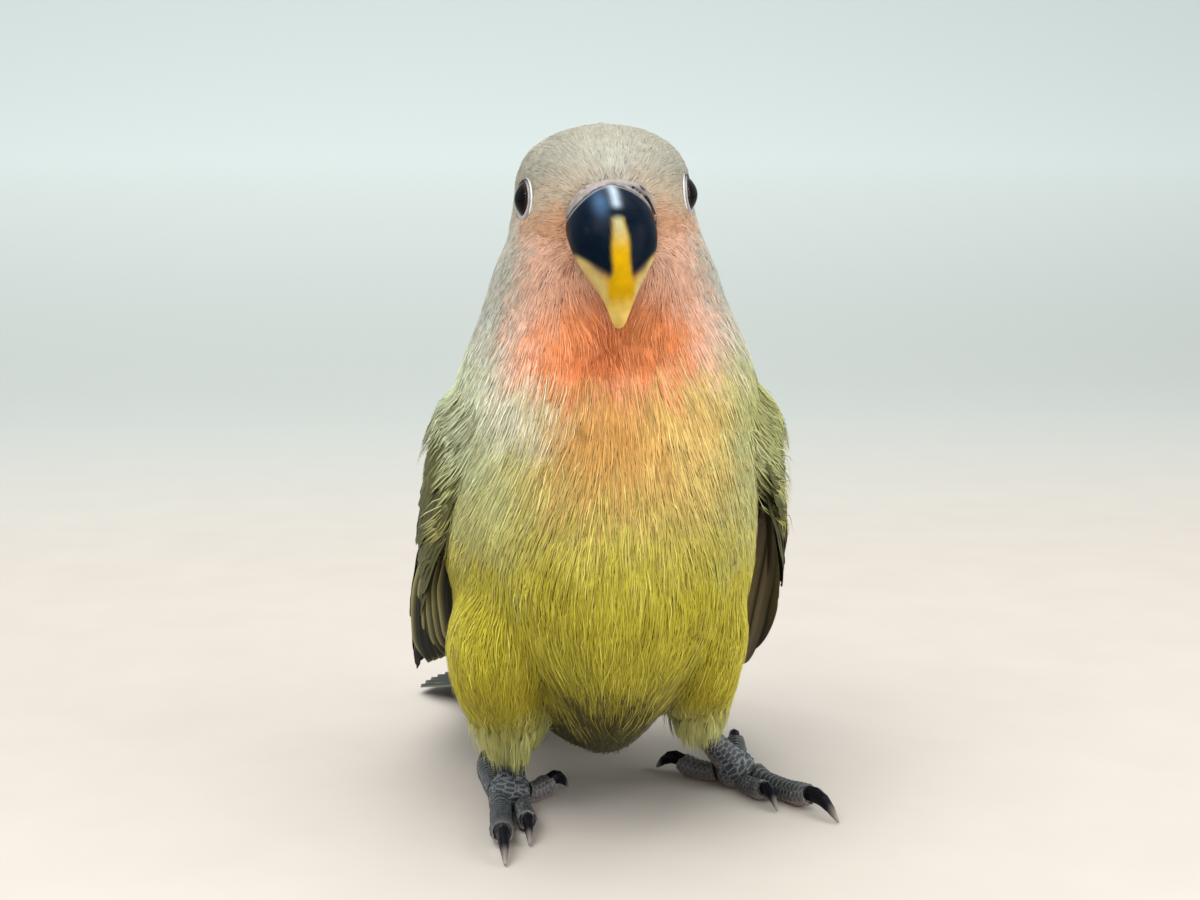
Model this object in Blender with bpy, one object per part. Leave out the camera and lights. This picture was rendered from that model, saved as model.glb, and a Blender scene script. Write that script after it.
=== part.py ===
"""A young peach faced lovebird standing with folded wings, life size, as closed faceted solids.

The bird faces -Y and its back is towards +Y, with +Z up. Lengths in the tables are millimetres.
"""

import math

import bmesh
import bpy
import numpy as np
from mathutils import Matrix, Vector
from mathutils.bvhtree import BVHTree

# Units and the gap that neighbouring solids keep
MM = 0.001
GAP = 0.3
VANE_THICKNESS = 0.5
VANE_SHOULDER = 0.66
TIP_CROWDING = 1.35
FLOOR_FLAT = 0.35

# Body sections from crown to tail base: front y, front z, back y, back z, half width and how much
# narrower the front is, between the thighs
BODY_SECTIONS = [
    (-8.6, 89.3, 1.0, 89.4, 5.3, 0.0),
    (-13.2, 87.1, 5.6, 87.3, 8.8, 0.0),
    (-15.9, 84.2, 8.4, 84.4, 10.6, 0.0),
    (-17.0, 80.6, 10.0, 80.8, 11.1, 0.0),
    (-16.9, 76.4, 10.9, 76.6, 12.1, 0.0),
    (-16.0, 72.2, 11.7, 72.2, 13.9, 0.0),
    (-15.6, 68.0, 12.8, 67.6, 15.4, 0.0),
    (-17.0, 63.4, 14.8, 63.2, 17.3, 0.0),
    (-19.4, 58.0, 17.6, 58.4, 19.1, 0.0),
    (-22.0, 52.0, 21.2, 53.4, 19.8, 0.0),
    (-24.2, 45.0, 25.0, 48.4, 20.1, 0.0),
    (-25.0, 38.0, 28.8, 43.4, 20.5, 0.0),
    (-23.6, 31.0, 32.2, 38.4, 20.7, 0.06),
    (-19.6, 24.0, 35.2, 33.5, 20.3, 0.2),
    (-13.6, 17.3, 37.8, 29.0, 19.2, 0.42),
    (-7.0, 11.8, 40.0, 25.0, 17.6, 0.55),
    (1.0, 8.1, 41.6, 21.8, 15.4, 0.5),
    (10.0, 6.4, 42.6, 19.2, 13.0, 0.25),
    (20.0, 6.0, 43.2, 17.4, 11.0, 0.0),
    (29.0, 5.8, 43.8, 15.6, 9.2, 0.0),
]
BODY_SIDES = 30
BODY_STEPS = 2
CROWN_POLE = (-3.8, 90.4)
HEAD_CUT = ((-16.0, 65.6), (12.6, 68.6))
NECK_CUT = ((-19.4, 56.4), (17.4, 59.6))

# Turn and tilt of the head, and sideways swing of rump, tail and wing tips
HEAD_TURN = math.radians(-2.0)
HEAD_TILT = math.radians(1.8)
HEAD_TURN_HEIGHTS = (54.0, 66.0)
HEAD_AXIS_Y = -3.0
TAIL_SWING = 16.5
TAIL_SWING_SPAN = (18.0, 64.0)
WING_SWING = 0.15

# Eyes and lids
EYE_PLACE = (-8.2, 81.2)
EYE_RADIUS = 3.0
EYE_OPENING = 2.35
EYE_FORWARD = math.radians(15.0)
EYE_SINK = 0.5
LID_RADIUS = 0.42

# Bill sections from base to tip: ridge y, ridge z, edge y, edge z, half width
UPPER_BILL = [
    (-15.0, 82.9, -11.6, 73.0, 4.7),
    (-18.2, 82.4, -14.4, 72.9, 4.95),
    (-20.8, 80.8, -16.2, 72.4, 4.95),
    (-22.7, 78.2, -17.4, 71.6, 4.5),
    (-23.7, 75.0, -18.2, 70.5, 3.4),
    (-23.8, 72.0, -18.9, 69.3, 2.25),
    (-23.0, 69.3, -19.4, 68.2, 1.45),
    (-21.9, 67.3, -19.9, 67.2, 0.9),
    (-20.8, 66.3, -20.3, 66.4, 0.5),
]
LOWER_BILL = [
    (-10.5, 72.3, -9.5, 66.8, 3.4),
    (-13.6, 72.2, -12.4, 65.9, 3.6),
    (-15.9, 71.6, -14.8, 65.5, 3.3),
    (-17.4, 70.3, -16.6, 65.8, 2.7),
    (-18.4, 69.0, -17.9, 66.6, 1.8),
    (-18.8, 68.1, -18.6, 67.3, 1.0),
]
BILL_SIDES = 14
CERE_STATION = 0.62
CERE_RADIUS = 0.85
CERE_SPAN = math.radians(112.0)
CERE_STEPS = 18
CERE_SIDES = 8
NOSTRIL_ANGLE = math.radians(40.0)
NOSTRIL_RADIUS = 0.42
NOSTRIL_DEPTH = 1.6

# Thigh sections from hip to ankle: middle x, y, z, half width, half depth
THIGHS = {
    "right": [
        (-12.8, -4.5, 31.5, 6.2, 11.0),
        (-14.0, -3.8, 26.0, 6.7, 11.6),
        (-14.2, -2.0, 20.0, 6.3, 10.0),
        (-13.1, 1.2, 14.6, 5.4, 7.6),
        (-12.0, 4.2, 10.6, 4.2, 5.3),
        (-11.7, 5.6, 7.8, 3.2, 3.8),
    ],
    "left": [
        (10.8, -4.0, 31.5, 6.2, 11.0),
        (11.1, -3.0, 26.0, 6.6, 11.6),
        (11.6, -1.0, 20.0, 5.6, 10.0),
        (12.4, 2.8, 14.6, 4.6, 7.4),
        (13.3, 6.4, 11.4, 3.9, 5.2),
        (14.0, 8.6, 9.2, 3.1, 3.7),
    ],
}
THIGH_SIDES = 16

# Feet: the joint where the toes meet, and each toe's root, claw base and claw tip on the floor
HUB_RADIUS = 2.7
HUB_HEIGHT = 2.5
TARSUS_RADII = (2.0, 1.75, 2.1, HUB_RADIUS)
FEET = {
    "right": {"hub": (-12.6, 3.6), "toes": {
        "1": {"root": (-10.6, 5.0), "end": (-6.7, 8.1), "tip": (-3.9, 10.4), "radius": 1.45},
        "2": {"root": (-11.2, 2.0), "end": (-10.9, -6.4), "tip": (-11.1, -11.0), "radius": 1.35},
        "3": {"root": (-13.9, 2.0), "end": (-14.5, -11.2), "tip": (-14.6, -17.2), "radius": 1.55},
        "4": {"root": (-14.0, 5.4), "end": (-15.0, 16.6), "tip": (-15.1, 22.2), "radius": 1.5},
    }},
    "left": {"hub": (19.3, 9.2), "toes": {
        "1": {"root": (17.2, 10.6), "end": (12.5, 14.4), "tip": (9.4, 17.0), "radius": 1.45},
        "2": {"root": (19.6, 7.4), "end": (21.9, 1.6), "tip": (22.6, -2.6), "radius": 1.35},
        "3": {"root": (21.7, 7.9), "end": (27.2, -2.2), "tip": (29.6, -7.8), "radius": 1.55},
        "4": {"root": (20.0, 11.2), "end": (21.9, 22.0), "tip": (22.4, 27.4), "radius": 1.5},
    }},
}
TOE_SIDES = 12
TOE_HEIGHTS = (1.9, 1.3, 1.38, 1.5, 2.15)
TOE_SWELL = (1.1, 0.98, 1.02, 1.0, 1.1, 0.92)
CLAW_SIDES = 8
CLAW_RADII = (1.05, 1.12, 0.95, 0.66, 0.2)
CLAW_NARROW = 0.78
CLAW_SINK = 0.3
CLAW_ARCH = 0.45

# Wing shell: lower, middle and upper edge lines of the bird's left wing from shoulder to tip
WING_LINES = {
    "lower": [(17.2, -9.5, 52.0), (20.2, -6.6, 43.0), (23.1, 0.5, 32.0), (25.1, 16.0, 20.0), (24.4, 40.0, 9.6)],
    "middle": [(19.2, -3.0, 56.0), (21.4, 5.0, 47.0), (22.3, 14.5, 38.0), (22.2, 28.0, 27.0), (19.4, 44.5, 13.5)],
    "upper": [(13.4, 4.5, 60.0), (13.4, 17.0, 54.5), (12.4, 29.0, 45.5), (11.6, 39.0, 34.5), (12.6, 47.5, 22.0)],
}
ROOT_SINK = 0.5
WING_CORE = {"length": 0.56, "rings": 8, "sides": 12, "thickness": 3.2}

# Feather tiers of a wing: root and tip lines on the shell, and sizes
WING_TIERS = [
    {"count": 8, "roots": ((0.32, 0.10), (0.44, 0.42)), "tips": ((1.00, 0.08), (0.82, 0.62)),
     "width": (5.6, 6.4), "lift": (-0.9, -0.4), "tilt": -12.0, "spans": 5},
    {"count": 7, "roots": ((0.32, 0.30), (0.32, 0.84)), "tips": ((0.72, 0.32), (0.80, 0.92)),
     "width": (6.6, 7.2), "lift": (0.2, 0.5), "tilt": -10.0, "spans": 4},
    {"count": 3, "roots": ((0.18, 0.03), (0.22, 0.16)), "tips": ((0.56, 0.03), (0.48, 0.24)),
     "width": (5.0, 5.4), "lift": (0.5, 0.3), "tilt": -12.0, "spans": 3},
    {"count": 7, "roots": ((0.18, 0.20), (0.16, 0.84)), "tips": ((0.46, 0.24), (0.52, 0.94)),
     "width": (6.0, 7.0), "lift": (0.9, 1.2), "tilt": -9.0, "spans": 3},
    {"count": 6, "roots": ((0.08, 0.12), (0.06, 0.82)), "tips": ((0.28, 0.14), (0.31, 0.92)),
     "width": (6.4, 7.6), "lift": (1.2, 1.7), "tilt": -8.0, "spans": 3},
]

# Tail: core sections from the torso's end, and two tiers of vanes
TAIL_CORE = [
    (29.0, 6.0, 43.8, 15.6, 9.2),
    (34.0, 4.4, 46.0, 12.8, 9.0),
    (40.0, 3.3, 49.0, 9.9, 8.8),
    (46.0, 2.7, 52.0, 7.3, 8.0),
    (50.0, 2.6, 54.0, 5.6, 6.4),
]
TAIL_ROOT = (41.0, 7.8)
TAIL_TIP = (64.5, 1.3)
TAIL_NORMAL = Vector((0, 0.3, 1))
TAIL_SIDES = 18
TAIL_FEATHERS = {"count": 10, "fan": 8.6, "root_fan": 3.6, "width": 5.2, "tilt": 11.0, "shorter": 4.2,
                 "stack": 1.1, "arch": 0.0, "spans": 4}
TAIL_COVERTS = {"count": 5, "fan": 5.6, "root_fan": 4.4, "width": 5.6, "tilt": 8.0, "length": 12.5,
                "ahead": 2.5, "fall": 3.6, "stack": 1.1, "arch": 1.5, "spans": 3}

COLOURS = {
    "crown": (0.56, 0.52, 0.42),
    "neck": (0.86, 0.42, 0.28),
    "body": (0.52, 0.52, 0.12),
    "wing": (0.22, 0.25, 0.08),
    "tail": (0.12, 0.14, 0.10),
    "bill": (0.03, 0.04, 0.06),
    "horn": (0.85, 0.60, 0.10),
    "cere": (0.72, 0.66, 0.62),
    "eye": (0.02, 0.015, 0.01),
    "scales": (0.22, 0.22, 0.23),
    "claw": (0.05, 0.05, 0.055),
}


def start_scene():
    """An empty scene with one collection for the bird."""
    for old in list(bpy.data.objects):
        bpy.data.objects.remove(old)
    parts = bpy.data.collections.new("lovebird")
    bpy.context.scene.collection.children.link(parts)
    return parts


def material(name, colour, roughness):
    made = bpy.data.materials.new(name)
    made.use_nodes = True
    shader = made.node_tree.nodes["Principled BSDF"]
    shader.inputs["Base Color"].default_value = (*colour, 1.0)
    shader.inputs["Roughness"].default_value = roughness
    return made


# Small helpers for curves and rings
def smooth_rows(rows, steps):
    """Catmull-Rom rows between the given ones, with `steps` rows for each span."""
    table = np.array(rows, float)
    ends = [2 * table[0] - table[1], *table, 2 * table[-1] - table[-2]]
    made = []
    for i in range(1, len(ends) - 2):
        a, b, c, d = ends[i - 1 : i + 3]
        for k in range(steps):
            t = k / steps
            made.append(
                0.5 * (2 * b + (c - a) * t + (2 * a - 5 * b + 4 * c - d) * t**2 + (3 * b - a - 3 * c + d) * t**3)
            )
    made.append(table[-1])
    return np.array(made)


def at(rows, place):
    """The Catmull-Rom value at a place from 0, the first row, to 1, the last."""
    table = np.array(rows, float)
    ends = [2 * table[0] - table[1], *table, 2 * table[-1] - table[-2]]
    along = min(max(place, 0.0), 1.0) * (len(table) - 1)
    i = min(int(along), len(table) - 2)
    t = along - i
    a, b, c, d = ends[i : i + 4]
    return 0.5 * (2 * b + (c - a) * t + (2 * a - 5 * b + 4 * c - d) * t**2 + (3 * b - a - 3 * c + d) * t**3)


def smoothstep(x, low, high):
    t = min(max((x - low) / (high - low), 0.0), 1.0)
    return t * t * (3 - 2 * t)


def tail_line(y):
    """Sideways place of the rump's and tail's middle at this y."""
    low, high = TAIL_SWING_SPAN
    return -TAIL_SWING * max((y - low) / (high - low), 0.0) ** 1.6


def section_ring(row, sides):
    """A ring round a section whose row is front y, front z, back y, back z and half width.

    A sixth value from 0 to 1 makes the front of the ring narrower.
    """
    front, back = Vector((0, row[0], row[1])), Vector((0, row[2], row[3]))
    narrower = row[5] if len(row) > 5 else 0.0
    ring = []
    for k in range(sides):
        turn = 2 * math.pi * k / sides
        share = (1 - math.cos(turn)) / 2
        point = front.lerp(back, share)
        point.x = row[4] * math.sin(turn) * (1 - narrower * (1 - share) ** 2)
        ring.append(point)
    return ring


def swung(ring):
    """The ring moved sideways with the rump and tail."""
    return [point + Vector((tail_line(point.y), 0, 0)) for point in ring]


def frames_along(path):
    """(tangent, side, up) at each point of a path, with side kept level."""
    made = []
    for i, _ in enumerate(path):
        tangent = (path[min(i + 1, len(path) - 1)] - path[max(i - 1, 0)]).normalized()
        side = tangent.cross(Vector((0, 0, 1)))
        side = side.normalized() if side.length > 1e-3 else Vector((1, 0, 0))
        made.append((tangent, side, side.cross(tangent)))
    return made


def tube_rings(path, wide, high, sides):
    """Elliptical rings round a path, with half widths and half heights listed for its points."""
    rings = []
    for point, (_, side, up), w, h in zip(path, frames_along(path), wide, high):
        turns = [2 * math.pi * k / sides for k in range(sides)]
        rings.append([point + side * (w * math.cos(a)) + up * (h * math.sin(a)) for a in turns])
    return rings


# Small helpers for meshes
def solid(name, points, faces, parts):
    """A mesh object from points in millimetres, with its faces turned outwards."""
    mesh = bpy.data.meshes.new(name)
    mesh.from_pydata([tuple(p) for p in points], [], faces)
    work = bmesh.new()
    work.from_mesh(mesh)
    bmesh.ops.recalc_face_normals(work, faces=work.faces)
    if work.calc_volume(signed=True) < 0:
        bmesh.ops.reverse_faces(work, faces=work.faces)
    bmesh.ops.triangulate(work, faces=[f for f in work.faces if len(f.verts) > 4])
    work.to_mesh(mesh)
    work.free()
    made = bpy.data.objects.new(name, mesh)
    parts.objects.link(made)
    return made


def loft(name, rings, parts, poles=(None, None)):
    """A closed skin through rings of the same length, each end closed flat or drawn to a pole."""
    sides = len(rings[0])
    points = [p for ring in rings for p in ring]
    faces = []
    for i in range(len(rings) - 1):
        for k in range(sides):
            a, b = i * sides + k, i * sides + (k + 1) % sides
            faces.append((a, b, b + sides, a + sides))
    for pole, first in zip(poles, (0, (len(rings) - 1) * sides)):
        if pole is None:
            faces.append(tuple(range(first, first + sides)))
            continue
        points.append(pole)
        faces += [(first + k, first + (k + 1) % sides, len(points) - 1) for k in range(sides)]
    return solid(name, points, faces, parts)


def edited(target, change):
    """Runs a bmesh change on an object's mesh."""
    work = bmesh.new()
    work.from_mesh(target.data)
    change(work)
    work.to_mesh(target.data)
    work.free()


def keep_largest(target):
    """Drops all but the largest closed surface."""

    def change(work):
        left, groups = set(work.verts), []
        while left:
            group, edge = set(), [left.pop()]
            while edge:
                vert = edge.pop()
                group.add(vert)
                near = {e.other_vert(vert) for e in vert.link_edges} & left
                left -= near
                edge += near
            corners = np.array([tuple(v.co) for v in group])
            groups.append((np.ptp(corners, axis=0).prod(), group))
        groups.sort(key=lambda sized: sized[0])
        for size, group in groups[:-1]:
            print(f"{target.name}: dropped a loose piece in a box of {size:.2f} mm3")
            bmesh.ops.delete(work, geom=list(group), context="VERTS")

    edited(target, change)


def apply_boolean(target, operation, operand, solver="EXACT"):
    """Joins to, or cuts from, the target a mesh object or a whole collection, and applies it."""
    modifier = target.modifiers.new("join", "BOOLEAN")
    modifier.operation = operation
    modifier.solver = solver
    if isinstance(operand, bpy.types.Collection):
        modifier.operand_type = "COLLECTION"
        modifier.collection = operand
    else:
        modifier.object = operand
    graph = bpy.context.evaluated_depsgraph_get()
    made = bpy.data.meshes.new_from_object(target.evaluated_get(graph))
    target.modifiers.clear()
    target.data = made


def join_all(target, pieces):
    """One Boolean union of closed pieces onto the target, which are then removed."""
    group = bpy.data.collections.new("joining")
    bpy.context.scene.collection.children.link(group)
    for piece in pieces:
        for home in list(piece.users_collection):
            home.objects.unlink(piece)
        group.objects.link(piece)
    apply_boolean(target, "UNION", group)
    for piece in pieces:
        bpy.data.objects.remove(piece)
    bpy.data.collections.remove(group)
    keep_largest(target)


def cut_clear(target, others, gap=GAP):
    """Cuts the target back from its neighbours by the gap."""
    for other in others:
        cutter = bpy.data.objects.new("cutter", other.data.copy())
        bpy.context.scene.collection.objects.link(cutter)

        def swell(work):
            work.normal_update()
            moves = [(v, v.normal * gap * min(v.calc_shell_factor(), 1.6)) for v in work.verts]
            for vert, move in moves:
                vert.co += move

        edited(cutter, swell)
        apply_boolean(target, "DIFFERENCE", cutter)
        bpy.data.objects.remove(cutter)
    keep_largest(target)


def keep_side(target, point, normal):
    """Cuts the mesh by a plane, keeps the side that the normal points away from, and closes it."""

    def change(work):
        geometry = [*work.verts, *work.edges, *work.faces]
        cut = bmesh.ops.bisect_plane(
            work, geom=geometry, plane_co=point, plane_no=normal, dist=1e-4, clear_outer=True
        )
        rim = [e for e in cut["geom_cut"] if isinstance(e, bmesh.types.BMEdge)]
        filled = bmesh.ops.holes_fill(work, edges=rim, sides=0)
        bmesh.ops.triangulate(work, faces=filled["faces"])
        bmesh.ops.recalc_face_normals(work, faces=work.faces)

    edited(target, change)


def copy_of(source, name, parts):
    made = bpy.data.objects.new(name, source.data.copy())
    parts.objects.link(made)
    return made


# The body in one piece, parted by thin cuts
def whole_body(parts):
    rows = smooth_rows(BODY_SECTIONS, BODY_STEPS)
    rings = [swung(section_ring(row, BODY_SIDES)) for row in rows]
    return loft("whole", rings, parts, (Vector((0, *CROWN_POLE)), None))


def cut_plane(line):
    """(middle point, upward normal) of a cut plane across the body through two side-view points."""
    front, back = Vector((0, *line[0])), Vector((0, *line[1]))
    return (front + back) / 2, Vector((1, 0, 0)).cross(back - front).normalized()


def part_body(parts):
    whole = whole_body(parts)
    head, neck, torso = (copy_of(whole, name, parts) for name in ("head", "neck", "torso"))
    point, up = cut_plane(HEAD_CUT)
    keep_side(head, point + up * GAP / 2, -up)
    keep_side(neck, point - up * GAP / 2, up)
    point, up = cut_plane(NECK_CUT)
    keep_side(neck, point + up * GAP / 2, -up)
    keep_side(torso, point - up * GAP / 2, up)
    return whole, head, neck, torso


def side_of(tree, y, z):
    """The body's half width at this height and depth, from its surface."""
    hit = tree.ray_cast(Vector((80, y, z)), Vector((-1, 0, 0)))[0]
    return hit.x


# Head: eyes with raised lids, the bill, the cere with its nostrils
def eye_frame(tree, sign):
    """(middle of the eye's opening, outward direction) for one side."""
    y, z = EYE_PLACE
    outward = Vector((sign * math.cos(EYE_FORWARD), -math.sin(EYE_FORWARD), 0.06)).normalized()
    return Vector((sign * (side_of(tree, y, z) - EYE_SINK), y, z)), outward


def make_eye(side, sign, tree, parts):
    opening, outward = eye_frame(tree, sign)
    depth = math.sqrt(EYE_RADIUS**2 - EYE_OPENING**2)
    work = bmesh.new()
    bmesh.ops.create_icosphere(work, subdivisions=3, radius=EYE_RADIUS)
    mesh = bpy.data.meshes.new(f"eye_{side}")
    work.to_mesh(mesh)
    work.free()
    mesh.transform(Matrix.Translation(opening - outward * depth))
    eye = bpy.data.objects.new(f"eye_{side}", mesh)
    parts.objects.link(eye)
    return eye


def make_lid(sign, tree, parts):
    """A ring round the eye's opening, to be joined to the head."""
    opening, outward = eye_frame(tree, sign)
    bpy.ops.mesh.primitive_torus_add(
        major_segments=18, minor_segments=6, major_radius=EYE_OPENING + LID_RADIUS * 0.5, minor_radius=LID_RADIUS
    )
    lid = bpy.context.object
    lid.data.transform(outward.to_track_quat("Z", "Y").to_matrix().to_4x4())
    lid.data.transform(Matrix.Translation(opening))
    for home in list(lid.users_collection):
        home.objects.unlink(lid)
    parts.objects.link(lid)
    return lid


def make_bill(name, sections, parts):
    rings = [section_ring(row, BILL_SIDES) for row in smooth_rows(sections, 2)]
    last = sections[-1]
    tip = Vector((0, (last[0] + last[2]) / 2, min(last[1], last[3]) - 0.25))
    return loft(name, rings, parts, (None, tip))


def cere_arch():
    """(front, back, half width) of the bill section that the cere sits on."""
    row = at(UPPER_BILL, CERE_STATION / (len(UPPER_BILL) - 1))
    return Vector((0, row[0], row[1])), Vector((0, row[2], row[3])), row[4]


def arch_point(front, back, half_width, turn):
    point = front.lerp(back, (1 - math.cos(turn)) / 2)
    point.x = half_width * math.sin(turn)
    return point


def make_cere(parts):
    """A fleshy saddle over the bill's base, swollen where the nostrils are."""
    front, back, half_width = cere_arch()
    middle = (front + back) / 2
    turns = [CERE_SPAN * (2 * k / CERE_STEPS - 1) for k in range(CERE_STEPS + 1)]
    path = [arch_point(front, back, half_width, turn) for turn in turns]
    rings = []
    for i, (turn, point) in enumerate(zip(turns, path)):
        swell = math.exp(-(((abs(turn) - NOSTRIL_ANGLE) / 0.3) ** 2))
        radius = CERE_RADIUS * (0.85 + 0.5 * swell) * (1 - 0.5 * (abs(turn) / CERE_SPAN) ** 4)
        along = (path[min(i + 1, CERE_STEPS)] - path[max(i - 1, 0)]).normalized()
        across = along.cross(point - middle).normalized()
        outward = across.cross(along)
        round_it = [2 * math.pi * k / CERE_SIDES for k in range(CERE_SIDES)]
        rings.append([point + (outward * math.cos(a) + across * math.sin(a)) * radius for a in round_it])
    return loft("cere", rings, parts)


def drill_nostrils(cere):
    front, back, half_width = cere_arch()
    for sign in (-1, 1):
        hole = arch_point(front, back, half_width, sign * NOSTRIL_ANGLE)
        outward = (hole - (front + back) / 2).normalized() + Vector((0, -0.35, 0.2))
        outward.normalize()
        bpy.ops.mesh.primitive_cylinder_add(vertices=8, radius=NOSTRIL_RADIUS, depth=NOSTRIL_DEPTH)
        drill = bpy.context.object
        drill.data.transform(outward.to_track_quat("Z", "Y").to_matrix().to_4x4())
        drill.data.transform(Matrix.Translation(hole + outward * CERE_RADIUS * 1.35))
        apply_boolean(cere, "DIFFERENCE", drill)
        bpy.data.objects.remove(drill)


def make_head(head, neck, tree, parts):
    upper = make_bill("bill_upper", UPPER_BILL, parts)
    lower = make_bill("bill_lower", LOWER_BILL, parts)
    cere = make_cere(parts)
    eyes = [make_eye(side, sign, tree, parts) for side, sign in (("right", -1), ("left", 1))]
    join_all(head, [make_lid(sign, tree, parts) for sign in (-1, 1)])
    cut_clear(head, [*eyes, upper, lower, cere])
    cut_clear(neck, [lower])
    cut_clear(cere, [upper])
    drill_nostrils(cere)


# Legs: feathered thighs, bare scaled feet, two toes forward and two back
def make_thigh(side, parts):
    rings = []
    for x, y, z, wide, deep in smooth_rows(THIGHS[side], 2):
        turns = [2 * math.pi * k / THIGH_SIDES for k in range(THIGH_SIDES)]
        rings.append([Vector((x + wide * math.cos(a), y + deep * math.sin(a), z)) for a in turns])
    return loft(f"thigh_{side}", rings, parts)


def make_tarsus(side, parts):
    """The bare shank from the ankle down and forward to the round pad where the toes meet."""
    hub = Vector((*FEET[side]["hub"], HUB_HEIGHT))
    x, y, top_z = THIGHS[side][-1][:3]
    top_z -= GAP
    top = Vector((x, y, top_z))
    path = [top, top.lerp(hub, 0.35) + Vector((0, 0.5, -0.2)), top.lerp(hub, 0.7), hub]
    rings = tube_rings(path, TARSUS_RADII, TARSUS_RADII, TOE_SIDES)
    rings[0] = [Vector((p.x, p.y, top_z)) for p in rings[0]]
    end = hub + (hub - top).normalized() * HUB_RADIUS * 0.8
    tarsus = loft(f"tarsus_{side}", rings, parts, (None, end))
    work = bmesh.new()
    bmesh.ops.create_icosphere(work, subdivisions=2, radius=HUB_RADIUS + 0.25)
    mesh = bpy.data.meshes.new("pad")
    work.to_mesh(mesh)
    work.free()
    mesh.transform(Matrix.Translation(hub + Vector((0, -0.2, -0.1))))
    pad = bpy.data.objects.new("pad", mesh)
    parts.objects.link(pad)
    join_all(tarsus, [pad])
    keep_side(tarsus, Vector((0, 0, 0)), Vector((0, 0, -1)))
    return tarsus


def make_toe(side, digit, parts):
    """A toe with soft pads, its sole flat on the floor, and its curved claw."""
    sizes = FEET[side]["toes"][digit]
    root, end, tip = (Vector((*sizes[key], 0)) for key in ("root", "end", "tip"))
    radius = sizes["radius"]
    steps = len(TOE_SWELL) - 1
    path, wide = [], []
    for k in range(steps + 1):
        place = k / steps
        height = float(at([(h,) for h in TOE_HEIGHTS], place)[0]) * radius / 1.5
        path.append(root.lerp(end, place) + Vector((0, 0, height)))
        wide.append(radius * TOE_SWELL[k])
    forward = (path[-1] - path[-2]).normalized()
    rings = tube_rings(path, wide, [w * 1.02 for w in wide], TOE_SIDES)
    toe = loft(f"toe_{digit}_{side}", rings, parts, (None, path[-1] + forward * radius * 0.55))
    keep_side(toe, Vector((0, 0, 0)), Vector((0, 0, -1)))
    start = path[-1] + Vector((0, 0, 0.2)) - forward * CLAW_SINK
    reach = tip - Vector((start.x, start.y, 0))
    claw_path = []
    for k in range(len(CLAW_RADII)):
        place = k / (len(CLAW_RADII) - 1)
        drop = start.z * (1 - place**2) + FLOOR_FLAT * place**2 + CLAW_ARCH * math.sin(math.pi * place)
        claw_path.append(Vector((start.x, start.y, 0)) + reach * place + Vector((0, 0, drop)))
    scale = radius / 1.5
    radii = [r * scale for r in CLAW_RADII]
    claw_rings = tube_rings(claw_path, [r * CLAW_NARROW for r in radii], radii, CLAW_SIDES)
    claw = loft(f"claw_{digit}_{side}", claw_rings, parts)
    keep_side(claw, Vector((0, 0, 0)), Vector((0, 0, -1)))
    cut_clear(toe, [claw])
    return toe, claw


def make_legs(torso, parts):
    nodes = {}
    for side in ("right", "left"):
        thigh = make_thigh(side, parts)
        cut_clear(thigh, [torso])
        tarsus = make_tarsus(side, parts)
        nodes[f"thigh_{side}"] = thigh
        nodes[f"tarsus_{side}"] = tarsus
        earlier = [tarsus]
        for digit in ("3", "4", "1", "2"):
            toe, claw = make_toe(side, digit, parts)
            cut_clear(toe, earlier)
            earlier.append(toe)
            nodes[f"toe_{digit}_{side}"] = toe
            nodes[f"claw_{digit}_{side}"] = claw
    return nodes


# Feather vanes
def feather_places(spans):
    """Places from root 0 to tip 1, closer together where the tip rounds off."""
    return [1 - (1 - k / spans) ** TIP_CROWDING for k in range(spans + 1)]


def vane(path, places, normals, width, tilt, parts):
    """A thin feather blade along a path, split into triangles alike on both faces."""
    points = []
    last = len(path) - 1
    for i, (point, place, normal) in enumerate(zip(path, places, normals)):
        tangent = (path[min(i + 1, last)] - path[max(i - 1, 0)]).normalized()
        side = Matrix.Rotation(tilt, 3, tangent) @ normal.cross(tangent).normalized()
        up = tangent.cross(side).normalized()
        rounding = math.sqrt(1 - (max(place - VANE_SHOULDER, 0.0) / (1.04 - VANE_SHOULDER)) ** 2)
        half = side * (width * min(1.0, 0.55 + 2.2 * place) * rounding / 2)
        thick = up * (VANE_THICKNESS * (1.0 - 0.35 * place) / 2)
        points += [point - half + thick, point + half + thick, point + half - thick, point - half - thick]
    faces = [(0, 1, 2), (0, 2, 3), (4 * last, 4 * last + 2, 4 * last + 1), (4 * last, 4 * last + 3, 4 * last + 2)]
    for i in range(last):
        a, b = 4 * i, 4 * i + 4
        faces += [(a, b, b + 1), (a, b + 1, a + 1), (a + 3, b + 2, b + 3), (a + 3, a + 2, b + 2)]
        faces += [(a + 1, b + 1, b + 2), (a + 1, b + 2, a + 2), (a, a + 3, b + 3), (a, b + 3, b)]
    return solid("vane", points, faces, parts)


def shell_point(s, t):
    """A point of the left wing's middle surface: s from shoulder to tip, t from lower to upper edge."""
    low, mid, high = (Vector(at(WING_LINES[key], s)) for key in ("lower", "middle", "upper"))
    bow = mid - (low + high) / 2
    return low.lerp(high, t) + bow * (4 * t * (1 - t))


def shell_normal(s, t):
    step = 0.02
    along = shell_point(min(s + step, 1.0), t) - shell_point(max(s - step, 0.0), t)
    across = shell_point(s, min(t + step, 1.0)) - shell_point(s, max(t - step, 0.0))
    normal = across.cross(along).normalized()
    return normal if normal.x > 0 else -normal


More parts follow.
